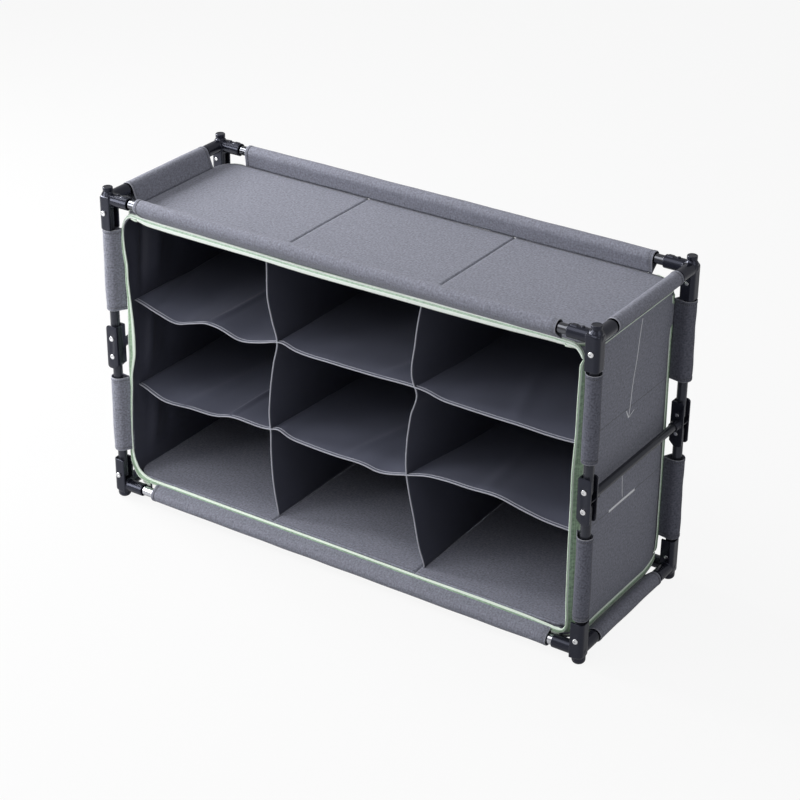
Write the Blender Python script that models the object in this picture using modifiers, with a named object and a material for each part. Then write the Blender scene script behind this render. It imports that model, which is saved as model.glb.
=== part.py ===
# Folding camp kitchen cupboard: a tube frame that folds flat, with a fabric box of nine bays hung inside it.
# Metres, +Z up, the open front faces -Y. The origin is on the ground, under the middle of the frame.

import math

import bmesh
import bpy
from mathutils import Matrix
from mathutils import Vector

# Driving sizes of the frame
POST_SPAN_X = 0.890  # between post axes, left to right
POST_SPAN_Y = 0.291  # between post axes, front to back
FOOT_HEIGHT = 0.023  # from the ground to the bottom rail axis
LINK = 0.2235  # each half post, from pivot to pivot
TUBE_R = 0.008
TUBE_WALL = 0.0012
GAP = 0.0003  # between pieces that touch
MERGE = 0.00001  # points nearer than this are one
OVERRUN = 0.010  # how far a cutter runs past what it cuts
ROUND_STEPS = 16
SMALL_STEPS = 8

# Corner connectors: two arms, a forked leg, and a foot or a stacking stud
TUBE_SIDE_PLAY = 0.0006
KNUCKLE_CROWN = 0.0001
KNUCKLE_PLAY = 0.0006
PIVOT_LIFT = 0.00265  # between an arm and the knuckle above it
ARM_WALL = 0.00245
ARM_LENGTH = 0.044  # from the post axis
ARM_CHAMFER = 0.0012
SOCKET_START = 0.0145
LEG_FLANGE = 0.0039
LEG_WEB = 0.0024
LEG_REACH = 0.029  # past the pivot
LEG_CORNER = 0.005
SHOULDER_FOOT = 0.0115
SHOULDER_STUD = 0.0065
FOOT_R = 0.0105
FOOT_FLAT_R = 0.0060
FOOT_ROUNDING = 0.0075
STUD_HEIGHT = 0.0205  # above the top rail axis
STUD_NECK_R = 0.0065
STUD_RIM_R = 0.0085
STUD_RIM_HEIGHT = 0.0045
STUD_ROUNDING = 0.0025

# Middle brackets, where each post folds, and the cross bar between two of them
BRACKET_MIDDLE = 0.0163  # between the two knuckles
BRACKET_END = 0.02225  # past each pivot
BRACKET_SIDE_PLAY = 0.0004
BRACKET_FLANGE = 0.0028
BRACKET_WEB = 0.0024
BRACKET_CORNER = 0.005
BRACKET_CHAMFER = 0.008
BRACKET_RIB = 0.0016
RIB_INSET = 0.0010
BAR_R = 0.0065
BOSS_WALL = 0.0015
BOSS_REACH = 0.0130  # from the bracket's side
BAR_ENTRY = 0.0015

# Screws through the pivots
SCREW_R = 0.0022
SCREW_HOLE_PLAY = 0.0003
SCREW_HEAD_R = 0.0045
LEG_HEAD = 0.0031
BRACKET_HEAD = 0.0012
SCREW_END_R = 0.0031
SCREW_END = 0.0008
RIVET_R = 0.0030
RIVET_HEIGHT = 0.0014
RIVET_PLACE = 0.030  # from the post axis

# Fabric sleeves on the tubes
SLEEVE_CLOTH = 0.0032
LONG_SLEEVE_SHOW = 0.016  # bare tube between an arm and a long rail's sleeve
SHORT_SLEEVE_SHOW = 0.003
POST_SLEEVE_START = 0.036  # past the leg's pivot
POST_SLEEVE_STOP = 0.046  # short of the bracket's pivot

# Fabric box
WALL_INSET = 0.020  # side walls inside the post axes
PANEL_DROP = 0.004  # the stiff panels' inner faces past the pivots
PANEL_THICKNESS = 0.003
CORNER_CUT = 0.033
CLOTH = 0.0010
WEB_CLOTH = 0.0012
WEB_LAP = 0.0006  # how far a web runs in under a panel's edge
WALL_LAP = 0.0020  # how far a post sleeve's web runs on along its wall
TAPE_PLAY = 0.0004
TAPE = 0.0010
SEAM_PLAY = 0.0005
TAPE_OVERHANG = 0.0010  # past a panel's outer face
BOTTOM_TAPE = 0.0100
TOP_TAPE = 0.0120
EDGE_TAPE_WIDTH = 0.008
EDGE_TAPE = 0.0035

# Dividers and shelves
DIVIDERS_X = (0.309, 0.589)  # from the left post axis
SHELVES_Z = (0.2057, 0.3628)  # above the ground
FRONT_SETBACK = 0.016
BOW = 0.030
WAVE = 0.020
BOW_ROWS = 12
WAVE_COLUMNS = 10
WAVE_ROWS = 3

# Each divider's front edge: height as a share of the box's, sideways place as a share of the bow
BOW_SHARES = (
    ((0.0, 0.0), (0.12, -0.33), (0.335, -0.48), (0.47, -0.45), (0.59, -0.17), (0.668, 0.08), (0.75, -0.25),
     (0.86, -0.52), (0.95, -0.35), (1.0, 0.0)),
    ((0.0, 0.0), (0.07, -0.2), (0.18, -0.55), (0.335, -1.06), (0.45, -1.04), (0.55, -0.83), (0.668, -0.57),
     (0.83, -0.60), (0.96, -0.25), (1.0, 0.0)),
)
# Each shelf bay's front edge, left to right: place as a share of its width, height as a share of the wave
WAVE_SHARES = {
    "lower": (
        ((0.0, 0.0), (0.17, -0.75), (0.40, -0.68), (0.58, -0.55), (0.68, -0.18), (1.0, 0.0)),
        ((0.0, 0.0), (0.11, -0.22), (0.28, -0.36), (0.46, -0.44), (0.70, -0.46), (0.77, -0.60), (1.0, 0.0)),
        ((0.0, 0.0), (0.12, 0.36), (0.24, 0.58), (0.38, 0.64), (0.58, 0.70), (0.71, 0.35), (0.84, 0.05),
         (1.0, 0.0)),
    ),
    "upper": (
        ((0.0, 0.0), (0.29, -1.0), (0.39, -0.65), (0.52, -0.20), (0.60, -0.24), (0.74, -0.75), (0.88, -0.36),
         (1.0, 0.0)),
        ((0.0, 0.0), (0.1, -0.08), (0.4, -0.18), (0.7, -0.16), (1.0, 0.0)),
        ((0.0, 0.0), (0.08, -0.05), (0.18, -0.42), (0.30, -0.50), (0.80, -0.54), (1.0, -0.45)),
    ),
}

# What follows from the sizes above
KNUCKLE_R = TUBE_R + KNUCKLE_CROWN
ARM_R = TUBE_R + GAP + ARM_WALL
PIVOT_RISE = ARM_R + KNUCKLE_R + PIVOT_LIFT
LEG_SLOT = TUBE_R + TUBE_SIDE_PLAY
LEG_HALF_Y = LEG_SLOT + LEG_FLANGE
LEG_HALF_X = LEG_SLOT + LEG_WEB
BRACKET_PIVOTS = 2 * KNUCKLE_R + BRACKET_MIDDLE
BRACKET_SLOT = TUBE_R + BRACKET_SIDE_PLAY
BRACKET_HALF_Y = BRACKET_SLOT + BRACKET_FLANGE
BRACKET_HALF_X = LEG_SLOT + BRACKET_WEB
BRACKET_HALF_Z = BRACKET_PIVOTS / 2 + BRACKET_END
SCREW_HOLE_R = SCREW_R + SCREW_HOLE_PLAY
SLEEVE_BORE = TUBE_R + GAP
SLEEVE_R = SLEEVE_BORE + SLEEVE_CLOTH
LONG_SLEEVE_START = ARM_LENGTH + LONG_SLEEVE_SHOW
SHORT_SLEEVE_START = ARM_LENGTH + SHORT_SLEEVE_SHOW
POST_SLEEVE = LINK - POST_SLEEVE_START - POST_SLEEVE_STOP
HALF_X = POST_SPAN_X / 2
HALF_Y = POST_SPAN_Y / 2
BOTTOM_PIVOT_Z = FOOT_HEIGHT + PIVOT_RISE
BRACKET_LOW_Z = BOTTOM_PIVOT_Z + LINK
BRACKET_HIGH_Z = BRACKET_LOW_Z + BRACKET_PIVOTS
BRACKET_Z = (BRACKET_LOW_Z + BRACKET_HIGH_Z) / 2
TOP_PIVOT_Z = BRACKET_HIGH_Z + LINK
TOP_RAIL_Z = TOP_PIVOT_Z + PIVOT_RISE
FLOOR_Z = BOTTOM_PIVOT_Z + PANEL_DROP
CEILING_Z = TOP_PIVOT_Z - PANEL_DROP
BOX_HEIGHT = CEILING_Z - FLOOR_Z
WALL_X = HALF_X - WALL_INSET
TAPE_OUTER_Y = HALF_Y - SLEEVE_R - TAPE_PLAY
BOX_HALF_Y = TAPE_OUTER_Y - TAPE - TAPE_PLAY
PANEL_HALF_X = WALL_X + CLOTH / 2
INSIDE_BACK_Y = BOX_HALF_Y - CLOTH - GAP
INSIDE_FRONT_Y = FRONT_SETBACK - BOX_HALF_Y
MIDDLE_Y = (INSIDE_FRONT_Y + INSIDE_BACK_Y) / 2
INSIDE_X = WALL_X - CLOTH / 2 - SEAM_PLAY

ALONG_X = Matrix.Rotation(math.radians(90), 4, "Y")
ALONG_Y = Matrix.Rotation(math.radians(-90), 4, "X")
UPRIGHT = Matrix.Identity(4)
# An outline drawn in X and Y is turned so that it stands in X and Z, or in Y and Z
STAND_XZ = Matrix.Rotation(math.radians(90), 4, "X")
STAND_YZ = Matrix(((0, 0, 1, 0), (1, 0, 0, 0), (0, 1, 0, 0), (0, 0, 0, 1)))

for old in list(bpy.data.objects):
    bpy.data.objects.remove(old)

cupboard = bpy.data.collections.new("camp_kitchen_cupboard")
bpy.context.scene.collection.children.link(cupboard)


def material(name, colour, roughness, metallic=0.0):
    made = bpy.data.materials.new(name)
    made.use_nodes = True
    shader = made.node_tree.nodes["Principled BSDF"]
    shader.inputs["Base Color"].default_value = (*colour, 1.0)
    shader.inputs["Roughness"].default_value = roughness
    shader.inputs["Metallic"].default_value = metallic
    return made


PLASTIC = material("black_plastic", (0.020, 0.020, 0.023), 0.45)
TUBE_METAL = material("grey_tube", (0.10, 0.10, 0.11), 0.35, 0.6)
SCREW_STEEL = material("screw_steel", (0.75, 0.75, 0.77), 0.25, 1.0)
PANEL_FABRIC = material("grey_panel_cloth", (0.120, 0.120, 0.135), 0.9)
INNER_FABRIC = material("dark_inner_cloth", (0.020, 0.021, 0.030), 0.7)
TAPE_FABRIC = material("mint_tape", (0.52, 0.66, 0.50), 0.8)


def draft(mesh):
    """A loose object that a shape is worked out on; it is gone once its mesh is taken."""
    made = bpy.data.objects.new("draft", mesh)
    bpy.context.scene.collection.objects.link(made)
    return made


def taken(shape):
    """The mesh of a draft with its modifiers worked in, and the draft removed."""
    evaluated = shape.evaluated_get(bpy.context.evaluated_depsgraph_get())
    mesh = bpy.data.meshes.new_from_object(evaluated)
    mesh.transform(shape.matrix_world)
    bpy.data.objects.remove(shape)
    return mesh


def box(low, high, edges=None, width=0.0, steps=2):
    """A box between two corners, with the edges that the test edges(a, b) picks rounded."""
    made = bmesh.new()
    bmesh.ops.create_cube(made, size=1.0)
    low = Vector(low)
    high = Vector(high)
    for vert in made.verts:
        vert.co = Vector(low[k] if vert.co[k] < 0 else high[k] for k in range(3))
    if edges:
        picked = [edge for edge in made.edges if edges(edge.verts[0].co, edge.verts[1].co)]
        bmesh.ops.bevel(made, geom=picked, offset=width, segments=steps, affect="EDGES", profile=0.5)
    mesh = bpy.data.meshes.new("box")
    made.to_mesh(mesh)
    made.free()
    return draft(mesh)


def turned(profile, turn=UPRIGHT, steps=ROUND_STEPS, closed=False):
    """A profile of (radius, height), down its outer side, spun about Z and then turned."""
    mesh = bpy.data.meshes.new("profile")
    last = len(profile) - 1
    edges = [(k, k + 1) for k in range(last)]
    if closed:
        edges.append((last, 0))
    mesh.from_pydata([(radius, 0, height) for radius, height in profile], edges, [])
    shape = draft(mesh)
    screw = shape.modifiers.new("spin", "SCREW")
    screw.steps = steps
    screw.render_steps = steps
    screw.use_merge_vertices = True
    screw.merge_threshold = MERGE
    mesh = taken(shape)
    mesh.transform(turn)
    return draft(mesh)


def rod(radius, low, high, turn=UPRIGHT, steps=ROUND_STEPS):
    return turned([(0, high), (radius, high), (radius, low), (0, low)], turn, steps)


def tube(bore, radius, low, high, turn=UPRIGHT):
    return turned([(bore, low), (bore, high), (radius, high), (radius, low)], turn, closed=True)


def extruded(outlines, half, turn=UPRIGHT):
    """Flat outlines, the first with the others as holes in it, given a thickness."""
    curve = bpy.data.curves.new("outline", "CURVE")
    curve.dimensions = "2D"
    curve.fill_mode = "BOTH"
    curve.extrude = half
    for outline in outlines:
        spline = curve.splines.new("POLY")
        spline.points.add(len(outline) - 1)
        spline.use_cyclic_u = True
        for point, place in zip(spline.points, outline):
            point.co = (place[0], place[1], 0, 1)
    mesh = taken(draft(curve))
    made = bmesh.new()
    made.from_mesh(mesh)
    bmesh.ops.remove_doubles(made, verts=made.verts, dist=MERGE)
    bmesh.ops.recalc_face_normals(made, faces=made.faces)
    made.to_mesh(mesh)
    made.free()
    mesh.transform(turn)
    return draft(mesh)


def combined(shape, others, operation):
    for other in others:
        step = shape.modifiers.new("combine", "BOOLEAN")
        step.operation = operation
        step.solver = "EXACT"
        step.object = other
    mesh = taken(shape)
    for other in others:
        bpy.data.objects.remove(other)
    return draft(mesh)


def joined(shape, *others):
    return combined(shape, others, "UNION")


def cut(shape, *cutters):
    return combined(shape, cutters, "DIFFERENCE")


def moved(shape, x=0.0, y=0.0, z=0.0):
    shape.data.transform(Matrix.Translation((x, y, z)))
    return shape


def mirrored(mesh, x=1, y=1, z=1):
    """A copy of a mesh turned over in the axes given as -1, with its faces still pointing out."""
    copy = mesh.copy()
    copy.transform(Matrix.Diagonal((x, y, z, 1)))
    if x * y * z < 0:
        copy.flip_normals()
    return copy


# Axes of the joints: every moving piece hangs on the empty at its own joint
holders = {}


def add_axis(name, parent, x, z):
    empty = bpy.data.objects.new(name, None)
    cupboard.objects.link(empty)
    place = Vector((x, 0, z))
    if parent:
        empty.parent = holders[parent][0]
        empty.location = place - holders[parent][1]
    else:
        empty.location = place
    holders[name] = (empty, place)


def add_piece(name, mesh, look, place=(0, 0, 0), holder=None):
    """One named piece at its place in the world, hung on a joint's empty or standing free."""
    mesh = mesh.copy()
    mesh.name = name
    mesh.materials.clear()
    mesh.materials.append(look)
    mesh.shade_smooth()
    mesh.set_sharp_from_angle(angle=math.radians(35))
    piece = bpy.data.objects.new(name, mesh)
    cupboard.objects.link(piece)
    if holder:
        piece.parent = holders[holder][0]
        piece.location = Vector(place) - holders[holder][1]
    else:
        piece.location = place


def smooth_at(points, share):
    """A smooth curve through points of (share, value), read at a share."""
    share = min(max(share, points[0][0]), points[-1][0])
    k = 0
    while k < len(points) - 2 and share > points[k + 1][0]:
        k += 1
    slopes = []
    for j in (k, k + 1):
        before = points[max(j - 1, 0)]
        after = points[min(j + 1, len(points) - 1)]
        slopes.append((after[1] - before[1]) / (after[0] - before[0]))
    run = points[k + 1][0] - points[k][0]
    t = (share - points[k][0]) / run
    start = points[k][1] * (1 + 2 * t) * (1 - t) ** 2 + slopes[0] * run * t * (1 - t) ** 2
    end = points[k + 1][1] * t * t * (3 - 2 * t) + slopes[1] * run * t * t * (t - 1)
    return start + end


def cloth_panel(columns, rows, place, thickness=CLOTH):
    """A thin panel whose middle surface place(u, v) gives, for u and v from 0 to 1."""
    made = bmesh.new()
    bmesh.ops.create_grid(made, x_segments=columns, y_segments=rows, size=0.5)
    for vert in made.verts:
        vert.co = Vector(place(vert.co.x + 0.5, vert.co.y + 0.5))
    mesh = bpy.data.meshes.new("cloth")
    made.to_mesh(mesh)
    made.free()
    shape = draft(mesh)
    solid = shape.modifiers.new("thickness", "SOLIDIFY")
    solid.thickness = thickness
    solid.offset = 0
    mesh = taken(shape)
    made = bmesh.new()
    made.from_mesh(mesh)
    bmesh.ops.recalc_face_normals(made, faces=made.faces)
    made.to_mesh(mesh)
    made.free()
    return mesh


def connector(with_stud):
    """The front left bottom connector about its rail crossing; with a stud it is the same, upside down."""
    shoulder = SHOULDER_STUD if with_stud else SHOULDER_FOOT
    leg_top = PIVOT_RISE + LEG_REACH

    def outer_edge(a, b):
        return a.x < 0 and b.x < 0 and (a.z != b.z or a.z < 0)

    low = (-LEG_HALF_X, -LEG_HALF_Y, -shoulder)
    body = box(low, (LEG_HALF_X, LEG_HALF_Y, leg_top), outer_edge, LEG_CORNER)
    socket = TUBE_R + GAP
    arm_profile = [
        (0, SOCKET_START), (socket, SOCKET_START), (socket, ARM_LENGTH), (ARM_R - ARM_CHAMFER, ARM_LENGTH),
        (ARM_R, ARM_LENGTH - ARM_CHAMFER), (ARM_R, 0), (0, 0),
    ]
    if with_stud:
        end_profile = [
            (0, 0), (STUD_NECK_R, 0), (STUD_NECK_R, STUD_RIM_HEIGHT + STUD_ROUNDING - STUD_HEIGHT),
            (STUD_RIM_R, STUD_RIM_HEIGHT - STUD_HEIGHT), (STUD_RIM_R, STUD_ROUNDING - STUD_HEIGHT),
            (STUD_RIM_R - STUD_ROUNDING, -STUD_HEIGHT), (0, -STUD_HEIGHT),
        ]
    else:
        end_profile = [(0, 0), (FOOT_R, 0)]
        for k in range(4):
            angle = math.radians(30 * k)
            radius = FOOT_FLAT_R + (FOOT_R - FOOT_FLAT_R) * math.cos(angle)
            end_profile.append((radius, FOOT_ROUNDING * (1 - math.sin(angle)) - FOOT_HEIGHT))
        end_profile.append((0, -FOOT_HEIGHT))
    slot_floor = PIVOT_RISE - KNUCKLE_R - KNUCKLE_PLAY
    slot = box((-LEG_SLOT, -LEG_SLOT, slot_floor), (LEG_HALF_X + OVERRUN, LEG_SLOT, leg_top + OVERRUN))
    reach = LEG_HALF_Y + OVERRUN
    hole = moved(rod(SCREW_HOLE_R, -reach, reach, ALONG_Y, SMALL_STEPS), z=PIVOT_RISE)
    body = cut(body, slot, hole)
    pieces = [turned(arm_profile, ALONG_X), turned(arm_profile, ALONG_Y), turned(end_profile)]
    if with_stud:
        rivet = rod(RIVET_R, -ARM_R - RIVET_HEIGHT, ARM_WALL / 2 - ARM_R, steps=SMALL_STEPS)
        pieces.append(moved(rivet, x=RIVET_PLACE))
    return taken(joined(body, *pieces))


def bracket():
    """The front left bracket about its centre: its web is inward, its slot opens outward."""
    half_x = BRACKET_HALF_X
    half_z = BRACKET_HALF_Z
    outline = [(half_x - BRACKET_CHAMFER, -half_z), (half_x, BRACKET_CHAMFER - half_z), (half_x, half_z)]
    for start, centre_z in ((90, half_z - BRACKET_CORNER), (180, BRACKET_CORNER - half_z)):
        for k in range(4):
            angle = math.radians(start + 30 * k)
            x = BRACKET_CORNER * (1 + math.cos(angle)) - half_x
            outline.append((x, centre_z + BRACKET_CORNER * math.sin(angle)))
    body = extruded([outline], BRACKET_HALF_Y, STAND_XZ)
    slot = box(
        (-half_x - OVERRUN, -BRACKET_SLOT, -half_z - OVERRUN), (LEG_SLOT, BRACKET_SLOT, half_z + OVERRUN)
    )
    reach = BRACKET_HALF_Y + OVERRUN
    holes = [
        moved(rod(SCREW_HOLE_R, -reach, reach, ALONG_Y, SMALL_STEPS), z=side * BRACKET_PIVOTS / 2)
        for side in (-1, 1)
    ]
    body = cut(body, slot, *holes)
    inner = BRACKET_SLOT + BRACKET_FLANGE / 2
    rib_end = LEG_SLOT + BRACKET_WEB / 2
    rib = box((RIB_INSET - half_x, -inner, -BRACKET_RIB / 2), (rib_end, inner, BRACKET_RIB / 2))
    mouth = BRACKET_HALF_Y + BOSS_REACH
    seat = BRACKET_HALF_Y + BAR_ENTRY
    boss = turned(
        [
            (0, seat), (BAR_R + GAP, seat), (BAR_R + GAP, mouth), (BAR_R + GAP + BOSS_WALL, mouth),
            (BAR_R + GAP + BOSS_WALL, inner), (0, inner),
        ],
        ALONG_Y,
    )
    return taken(joined(body, rib, boss))


def half_post():
    """A half post about its lower pivot: a tube with rounded ends and a pin hole at each pivot."""
    shape = tube(TUBE_R - TUBE_WALL, TUBE_R, 0, LINK)
    for vert in shape.data.vertices:
        rise = math.sqrt(KNUCKLE_R ** 2 - vert.co.x ** 2)
        vert.co.z += rise if vert.co.z > LINK / 2 else -rise
    reach = TUBE_R + OVERRUN
    holes = [
        moved(rod(SCREW_HOLE_R, -reach, reach, ALONG_Y, SMALL_STEPS), z=height) for height in (0, LINK)
    ]
    return taken(cut(shape, *holes))


def screw(half_width, head, end):
    """A screw through a fork of this half width, its head towards -Y."""
    under = -half_width - GAP
    over = half_width + GAP
    profile = [
        (0, over + end), (SCREW_END_R, over + end), (SCREW_END_R, over), (SCREW_R, over), (SCREW_R, under),
        (SCREW_HEAD_R, under), (SCREW_HEAD_R, under - head), (0, under - head),
    ]
    return taken(turned(profile, ALONG_Y, SMALL_STEPS))


def sleeve_outline(tip):
    """A cloth sleeve's section about its tube, with a web that leaves it at a tangent, to the tip."""
    tip = Vector(tip)
    across = math.acos(SLEEVE_R / tip.length)
    start = math.atan2(tip.y, tip.x) - across
    normal = Vector((math.cos(start), math.sin(start)))
    turn = 2 * math.pi - math.radians(30)
    points = []
    for k in range(ROUND_STEPS):
        angle = start + turn * k / (ROUND_STEPS - 1)
        points.append((SLEEVE_R * math.cos(angle), SLEEVE_R * math.sin(angle)))
    foot = normal * (SLEEVE_R + WEB_CLOTH)
    end = tip + normal * WEB_CLOTH
    points += [(foot.x, foot.y), (end.x, end.y), (tip.x, tip.y)]
    return points


def circle(radius):
    return [
        (radius * math.cos(2 * math.pi * k / ROUND_STEPS), radius * math.sin(2 * math.pi * k / ROUND_STEPS))
        for k in range(ROUND_STEPS)
    ]


def sleeve(tip, low, high, turn=UPRIGHT):
    """A cloth tube with a web, from low to high along its own tube, ready to be joined."""
    shape = extruded([sleeve_outline(tip), circle(SLEEVE_BORE)], (high - low) / 2)
    moved(shape, z=(low + high) / 2)
    shape.data.transform(turn)
    return shape


def turned_over(shape, x=1, y=1, z=1):
    """A second draft, the mirror of a draft."""
    return draft(mirrored(shape.data, x, y, z))


def panel_cover():
    """The bottom cover about the rails' height: a stiff board in cloth, and the sleeves on its edges."""
    outline = []
    for side_x, side_y in ((1, -1), (1, 1), (-1, 1), (-1, -1)):
        corner = [
            (side_x * (PANEL_HALF_X - CORNER_CUT), side_y * BOX_HALF_Y),
            (side_x * PANEL_HALF_X, side_y * (BOX_HALF_Y - CORNER_CUT)),
        ]
        outline += corner if side_x * side_y < 0 else corner[::-1]
    middle_z = FLOOR_Z - PANEL_THICKNESS / 2 - FOOT_HEIGHT
    board = moved(extruded([outline], PANEL_THICKNESS / 2), z=middle_z)
    long_half = HALF_X - LONG_SLEEVE_START
    short_half = HALF_Y - SHORT_SLEEVE_START
    front = sleeve((HALF_Y - BOX_HALF_Y + WEB_LAP, middle_z), -long_half, long_half, STAND_YZ)
    left = sleeve((HALF_X - PANEL_HALF_X + WEB_LAP, middle_z), -short_half, short_half, STAND_XZ)
    moved(front, y=-HALF_Y)
    moved(left, x=-HALF_X)
    return taken(joined(board, front, turned_over(front, y=-1), left, turned_over(left, x=-1)))


def side_wall():
    """The left side wall about its post axes: a cloth wall, its edge tapes, and four half post sleeves."""
    low = FLOOR_Z + GAP
    high = CEILING_Z - GAP
    wall = box((WALL_INSET - CLOTH / 2, -BOX_HALF_Y, low), (WALL_INSET + CLOTH / 2, BOX_HALF_Y, high))
    tip = (WALL_INSET, HALF_Y - BOX_HALF_Y + WALL_LAP)
    lower = BOTTOM_PIVOT_Z + POST_SLEEVE_START
    upper = TOP_PIVOT_Z - POST_SLEEVE_START
    pieces = []
    for start, end in ((lower, lower + POST_SLEEVE), (upper - POST_SLEEVE, upper)):
        front = moved(sleeve(tip, start, end), y=-HALF_Y)
        pieces += [front, turned_over(front, y=-1)]
    tape = box(
        (WALL_INSET - EDGE_TAPE, -BOX_HALF_Y, low + EDGE_TAPE),
        (WALL_INSET, EDGE_TAPE_WIDTH - BOX_HALF_Y, high - EDGE_TAPE),
    )
    pieces += [tape, turned_over(tape, y=-1)]
    return taken(joined(wall, *pieces))


def divider_x(number, z, forward):
    """Where a divider's middle lies at a height; forward is 0 at its back edge and 1 at its front."""
    share = smooth_at(BOW_SHARES[number], (z - FLOOR_Z) / BOX_HEIGHT)
    return DIVIDERS_X[number] - HALF_X + BOW * share * forward


def divider(number):
    """A divider, slit from its front edge to its middle where each shelf passes through it."""

    def place(u, v):
        z = FLOOR_Z + GAP + (BOX_HEIGHT - 2 * GAP) * v
        return divider_x(number, z, 1 - u), INSIDE_FRONT_Y + (INSIDE_BACK_Y - INSIDE_FRONT_Y) * u, z

    middle_x = DIVIDERS_X[number] - HALF_X
    reach_x = BOW + OVERRUN
    half_slit = CLOTH / 2 + SEAM_PLAY
    slits = [
        box(
            (middle_x - reach_x, INSIDE_FRONT_Y - OVERRUN, height - half_slit),
            (middle_x + reach_x, MIDDLE_Y + SEAM_PLAY, height + half_slit),
        )
        for height in SHELVES_Z
    ]
    return taken(cut(draft(cloth_panel(2, BOW_ROWS, place)), *slits))


def shelf(level, height):
    """A shelf from wall to wall, waved at its front, and slit from its back edge where the dividers pass."""

    def place(u, v):
        forward = 1 - v
        bay = min(int(3 * u), 2)
        edges = [-INSIDE_X, divider_x(0, height, forward), divider_x(1, height, forward), INSIDE_X]
        share = 3 * u - bay
        wave = WAVE * smooth_at(WAVE_SHARES[level][bay], share) * forward ** 2
        x = edges[bay] + (edges[bay + 1] - edges[bay]) * share
        return x, INSIDE_FRONT_Y + (INSIDE_BACK_Y - INSIDE_FRONT_Y) * v, height + wave

    slits = []
    for number in (0, 1):

        def slit(u, v):
            y = MIDDLE_Y - SEAM_PLAY + (INSIDE_BACK_Y + OVERRUN - MIDDLE_Y) * u
            forward = (INSIDE_BACK_Y - y) / (INSIDE_BACK_Y - INSIDE_FRONT_Y)
            return divider_x(number, height, forward), y, height + WAVE * (v - 1 / 2)

        slits.append(draft(cloth_panel(2, 1, slit, CLOTH + 2 * SEAM_PLAY)))
    return taken(cut(draft(cloth_panel(3 * WAVE_COLUMNS, WAVE_ROWS, place)), *slits))


# The joints' empties, from the bottom frame upwards
SIDES = (("left", -1), ("right", 1))
for side, sign in SIDES:
    post_x = sign * HALF_X
    add_axis(f"{side}_lower_post_axis", None, post_x, BOTTOM_PIVOT_Z)
    add_axis(f"{side}_bar_axis", f"{side}_lower_post_axis", post_x, BRACKET_LOW_Z)
    add_axis(f"{side}_upper_post_axis", f"{side}_bar_axis", post_x, BRACKET_HIGH_Z)
add_axis("top_frame_axis", "left_upper_post_axis", -HALF_X, TOP_PIVOT_Z)

# Corner connectors
ENDS = (("front", -1), ("back", 1))
foot_connector = connector(with_stud=False)
stud_connector = connector(with_stud=True)
for side, sign in SIDES:
    for end, way in ENDS:
        flip_x = -sign
        flip_y = -way
        bottom_place = (sign * HALF_X, way * HALF_Y, FOOT_HEIGHT)
        top_place = (sign * HALF_X, way * HALF_Y, TOP_RAIL_Z)
        bottom_mesh = mirrored(foot_connector, flip_x, flip_y)
        add_piece(f"corner_bottom_{end}_{side}", bottom_mesh, PLASTIC, bottom_place)
        top_mesh = mirrored(stud_connector, flip_x, flip_y, -1)
        add_piece(f"corner_top_{end}_{side}", top_mesh, PLASTIC, top_place, "top_frame_axis")

# Rails: straight tubes whose ends stand in the connectors' sockets
rail_bore = TUBE_R - TUBE_WALL
rail_start = SOCKET_START + GAP
long_rail = taken(tube(rail_bore, TUBE_R, rail_start - HALF_X, HALF_X - rail_start, ALONG_X))
short_rail = taken(tube(rail_bore, TUBE_R, rail_start - HALF_Y, HALF_Y - rail_start, ALONG_Y))
for level, height, holder in (("bottom", FOOT_HEIGHT, None), ("top", TOP_RAIL_Z, "top_frame_axis")):
    for end, way in ENDS:
        add_piece(f"rail_{level}_{end}", long_rail, TUBE_METAL, (0, way * HALF_Y, height), holder)
    for side, sign in SIDES:
        add_piece(f"rail_{level}_{side}", short_rail, TUBE_METAL, (sign * HALF_X, 0, height), holder)

# Covers: a stiff board with its rail sleeves, below and above
cover = panel_cover()
add_piece("floor_cover", cover, PANEL_FABRIC, (0, 0, FOOT_HEIGHT))
add_piece("top_cover", mirrored(cover, z=-1), PANEL_FABRIC, (0, 0, TOP_RAIL_Z), "top_frame_axis")

# Half posts
post = half_post()
for side, sign in SIDES:
    for part, pivot_z in (("lower", BOTTOM_PIVOT_Z), ("upper", BRACKET_HIGH_Z)):
        for end, way in ENDS:
            place = (sign * HALF_X, way * HALF_Y, pivot_z)
            add_piece(f"post_{part}_{end}_{side}", post, TUBE_METAL, place, f"{side}_{part}_post_axis")

# Brackets and the cross bar that joins each pair
front_left_bracket = bracket()
bar_half = HALF_Y - BRACKET_HALF_Y - BAR_ENTRY - GAP
bar = taken(rod(BAR_R, -bar_half, bar_half, ALONG_Y))
for side, sign in SIDES:
    holder = f"{side}_bar_axis"
    for end, way in ENDS:
        mesh = mirrored(front_left_bracket, -sign, -way)
        add_piece(f"bracket_{end}_{side}", mesh, PLASTIC, (sign * HALF_X, way * HALF_Y, BRACKET_Z), holder)
    add_piece(f"cross_bar_{side}", bar, TUBE_METAL, (sign * HALF_X, 0, BRACKET_Z), holder)

# Pivot screws, heads outward at the front and at the back
leg_screw = screw(LEG_HALF_Y, LEG_HEAD, SCREW_END)
bracket_screw = screw(BRACKET_HALF_Y, BRACKET_HEAD, SCREW_END)
for side, sign in SIDES:
    for name, mesh, height, holder in (
        ("pivot_screw_bottom", leg_screw, BOTTOM_PIVOT_Z, None),
        ("bracket_screw_lower", bracket_screw, BRACKET_LOW_Z, f"{side}_bar_axis"),
        ("bracket_screw_upper", bracket_screw, BRACKET_HIGH_Z, f"{side}_bar_axis"),
        ("pivot_screw_top", leg_screw, TOP_PIVOT_Z, "top_frame_axis"),
    ):
        for end, way in ENDS:
            place = (sign * HALF_X, way * HALF_Y, height)
            add_piece(f"{name}_{end}_{side}", mirrored(mesh, y=-way), SCREW_STEEL, place, holder)

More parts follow.
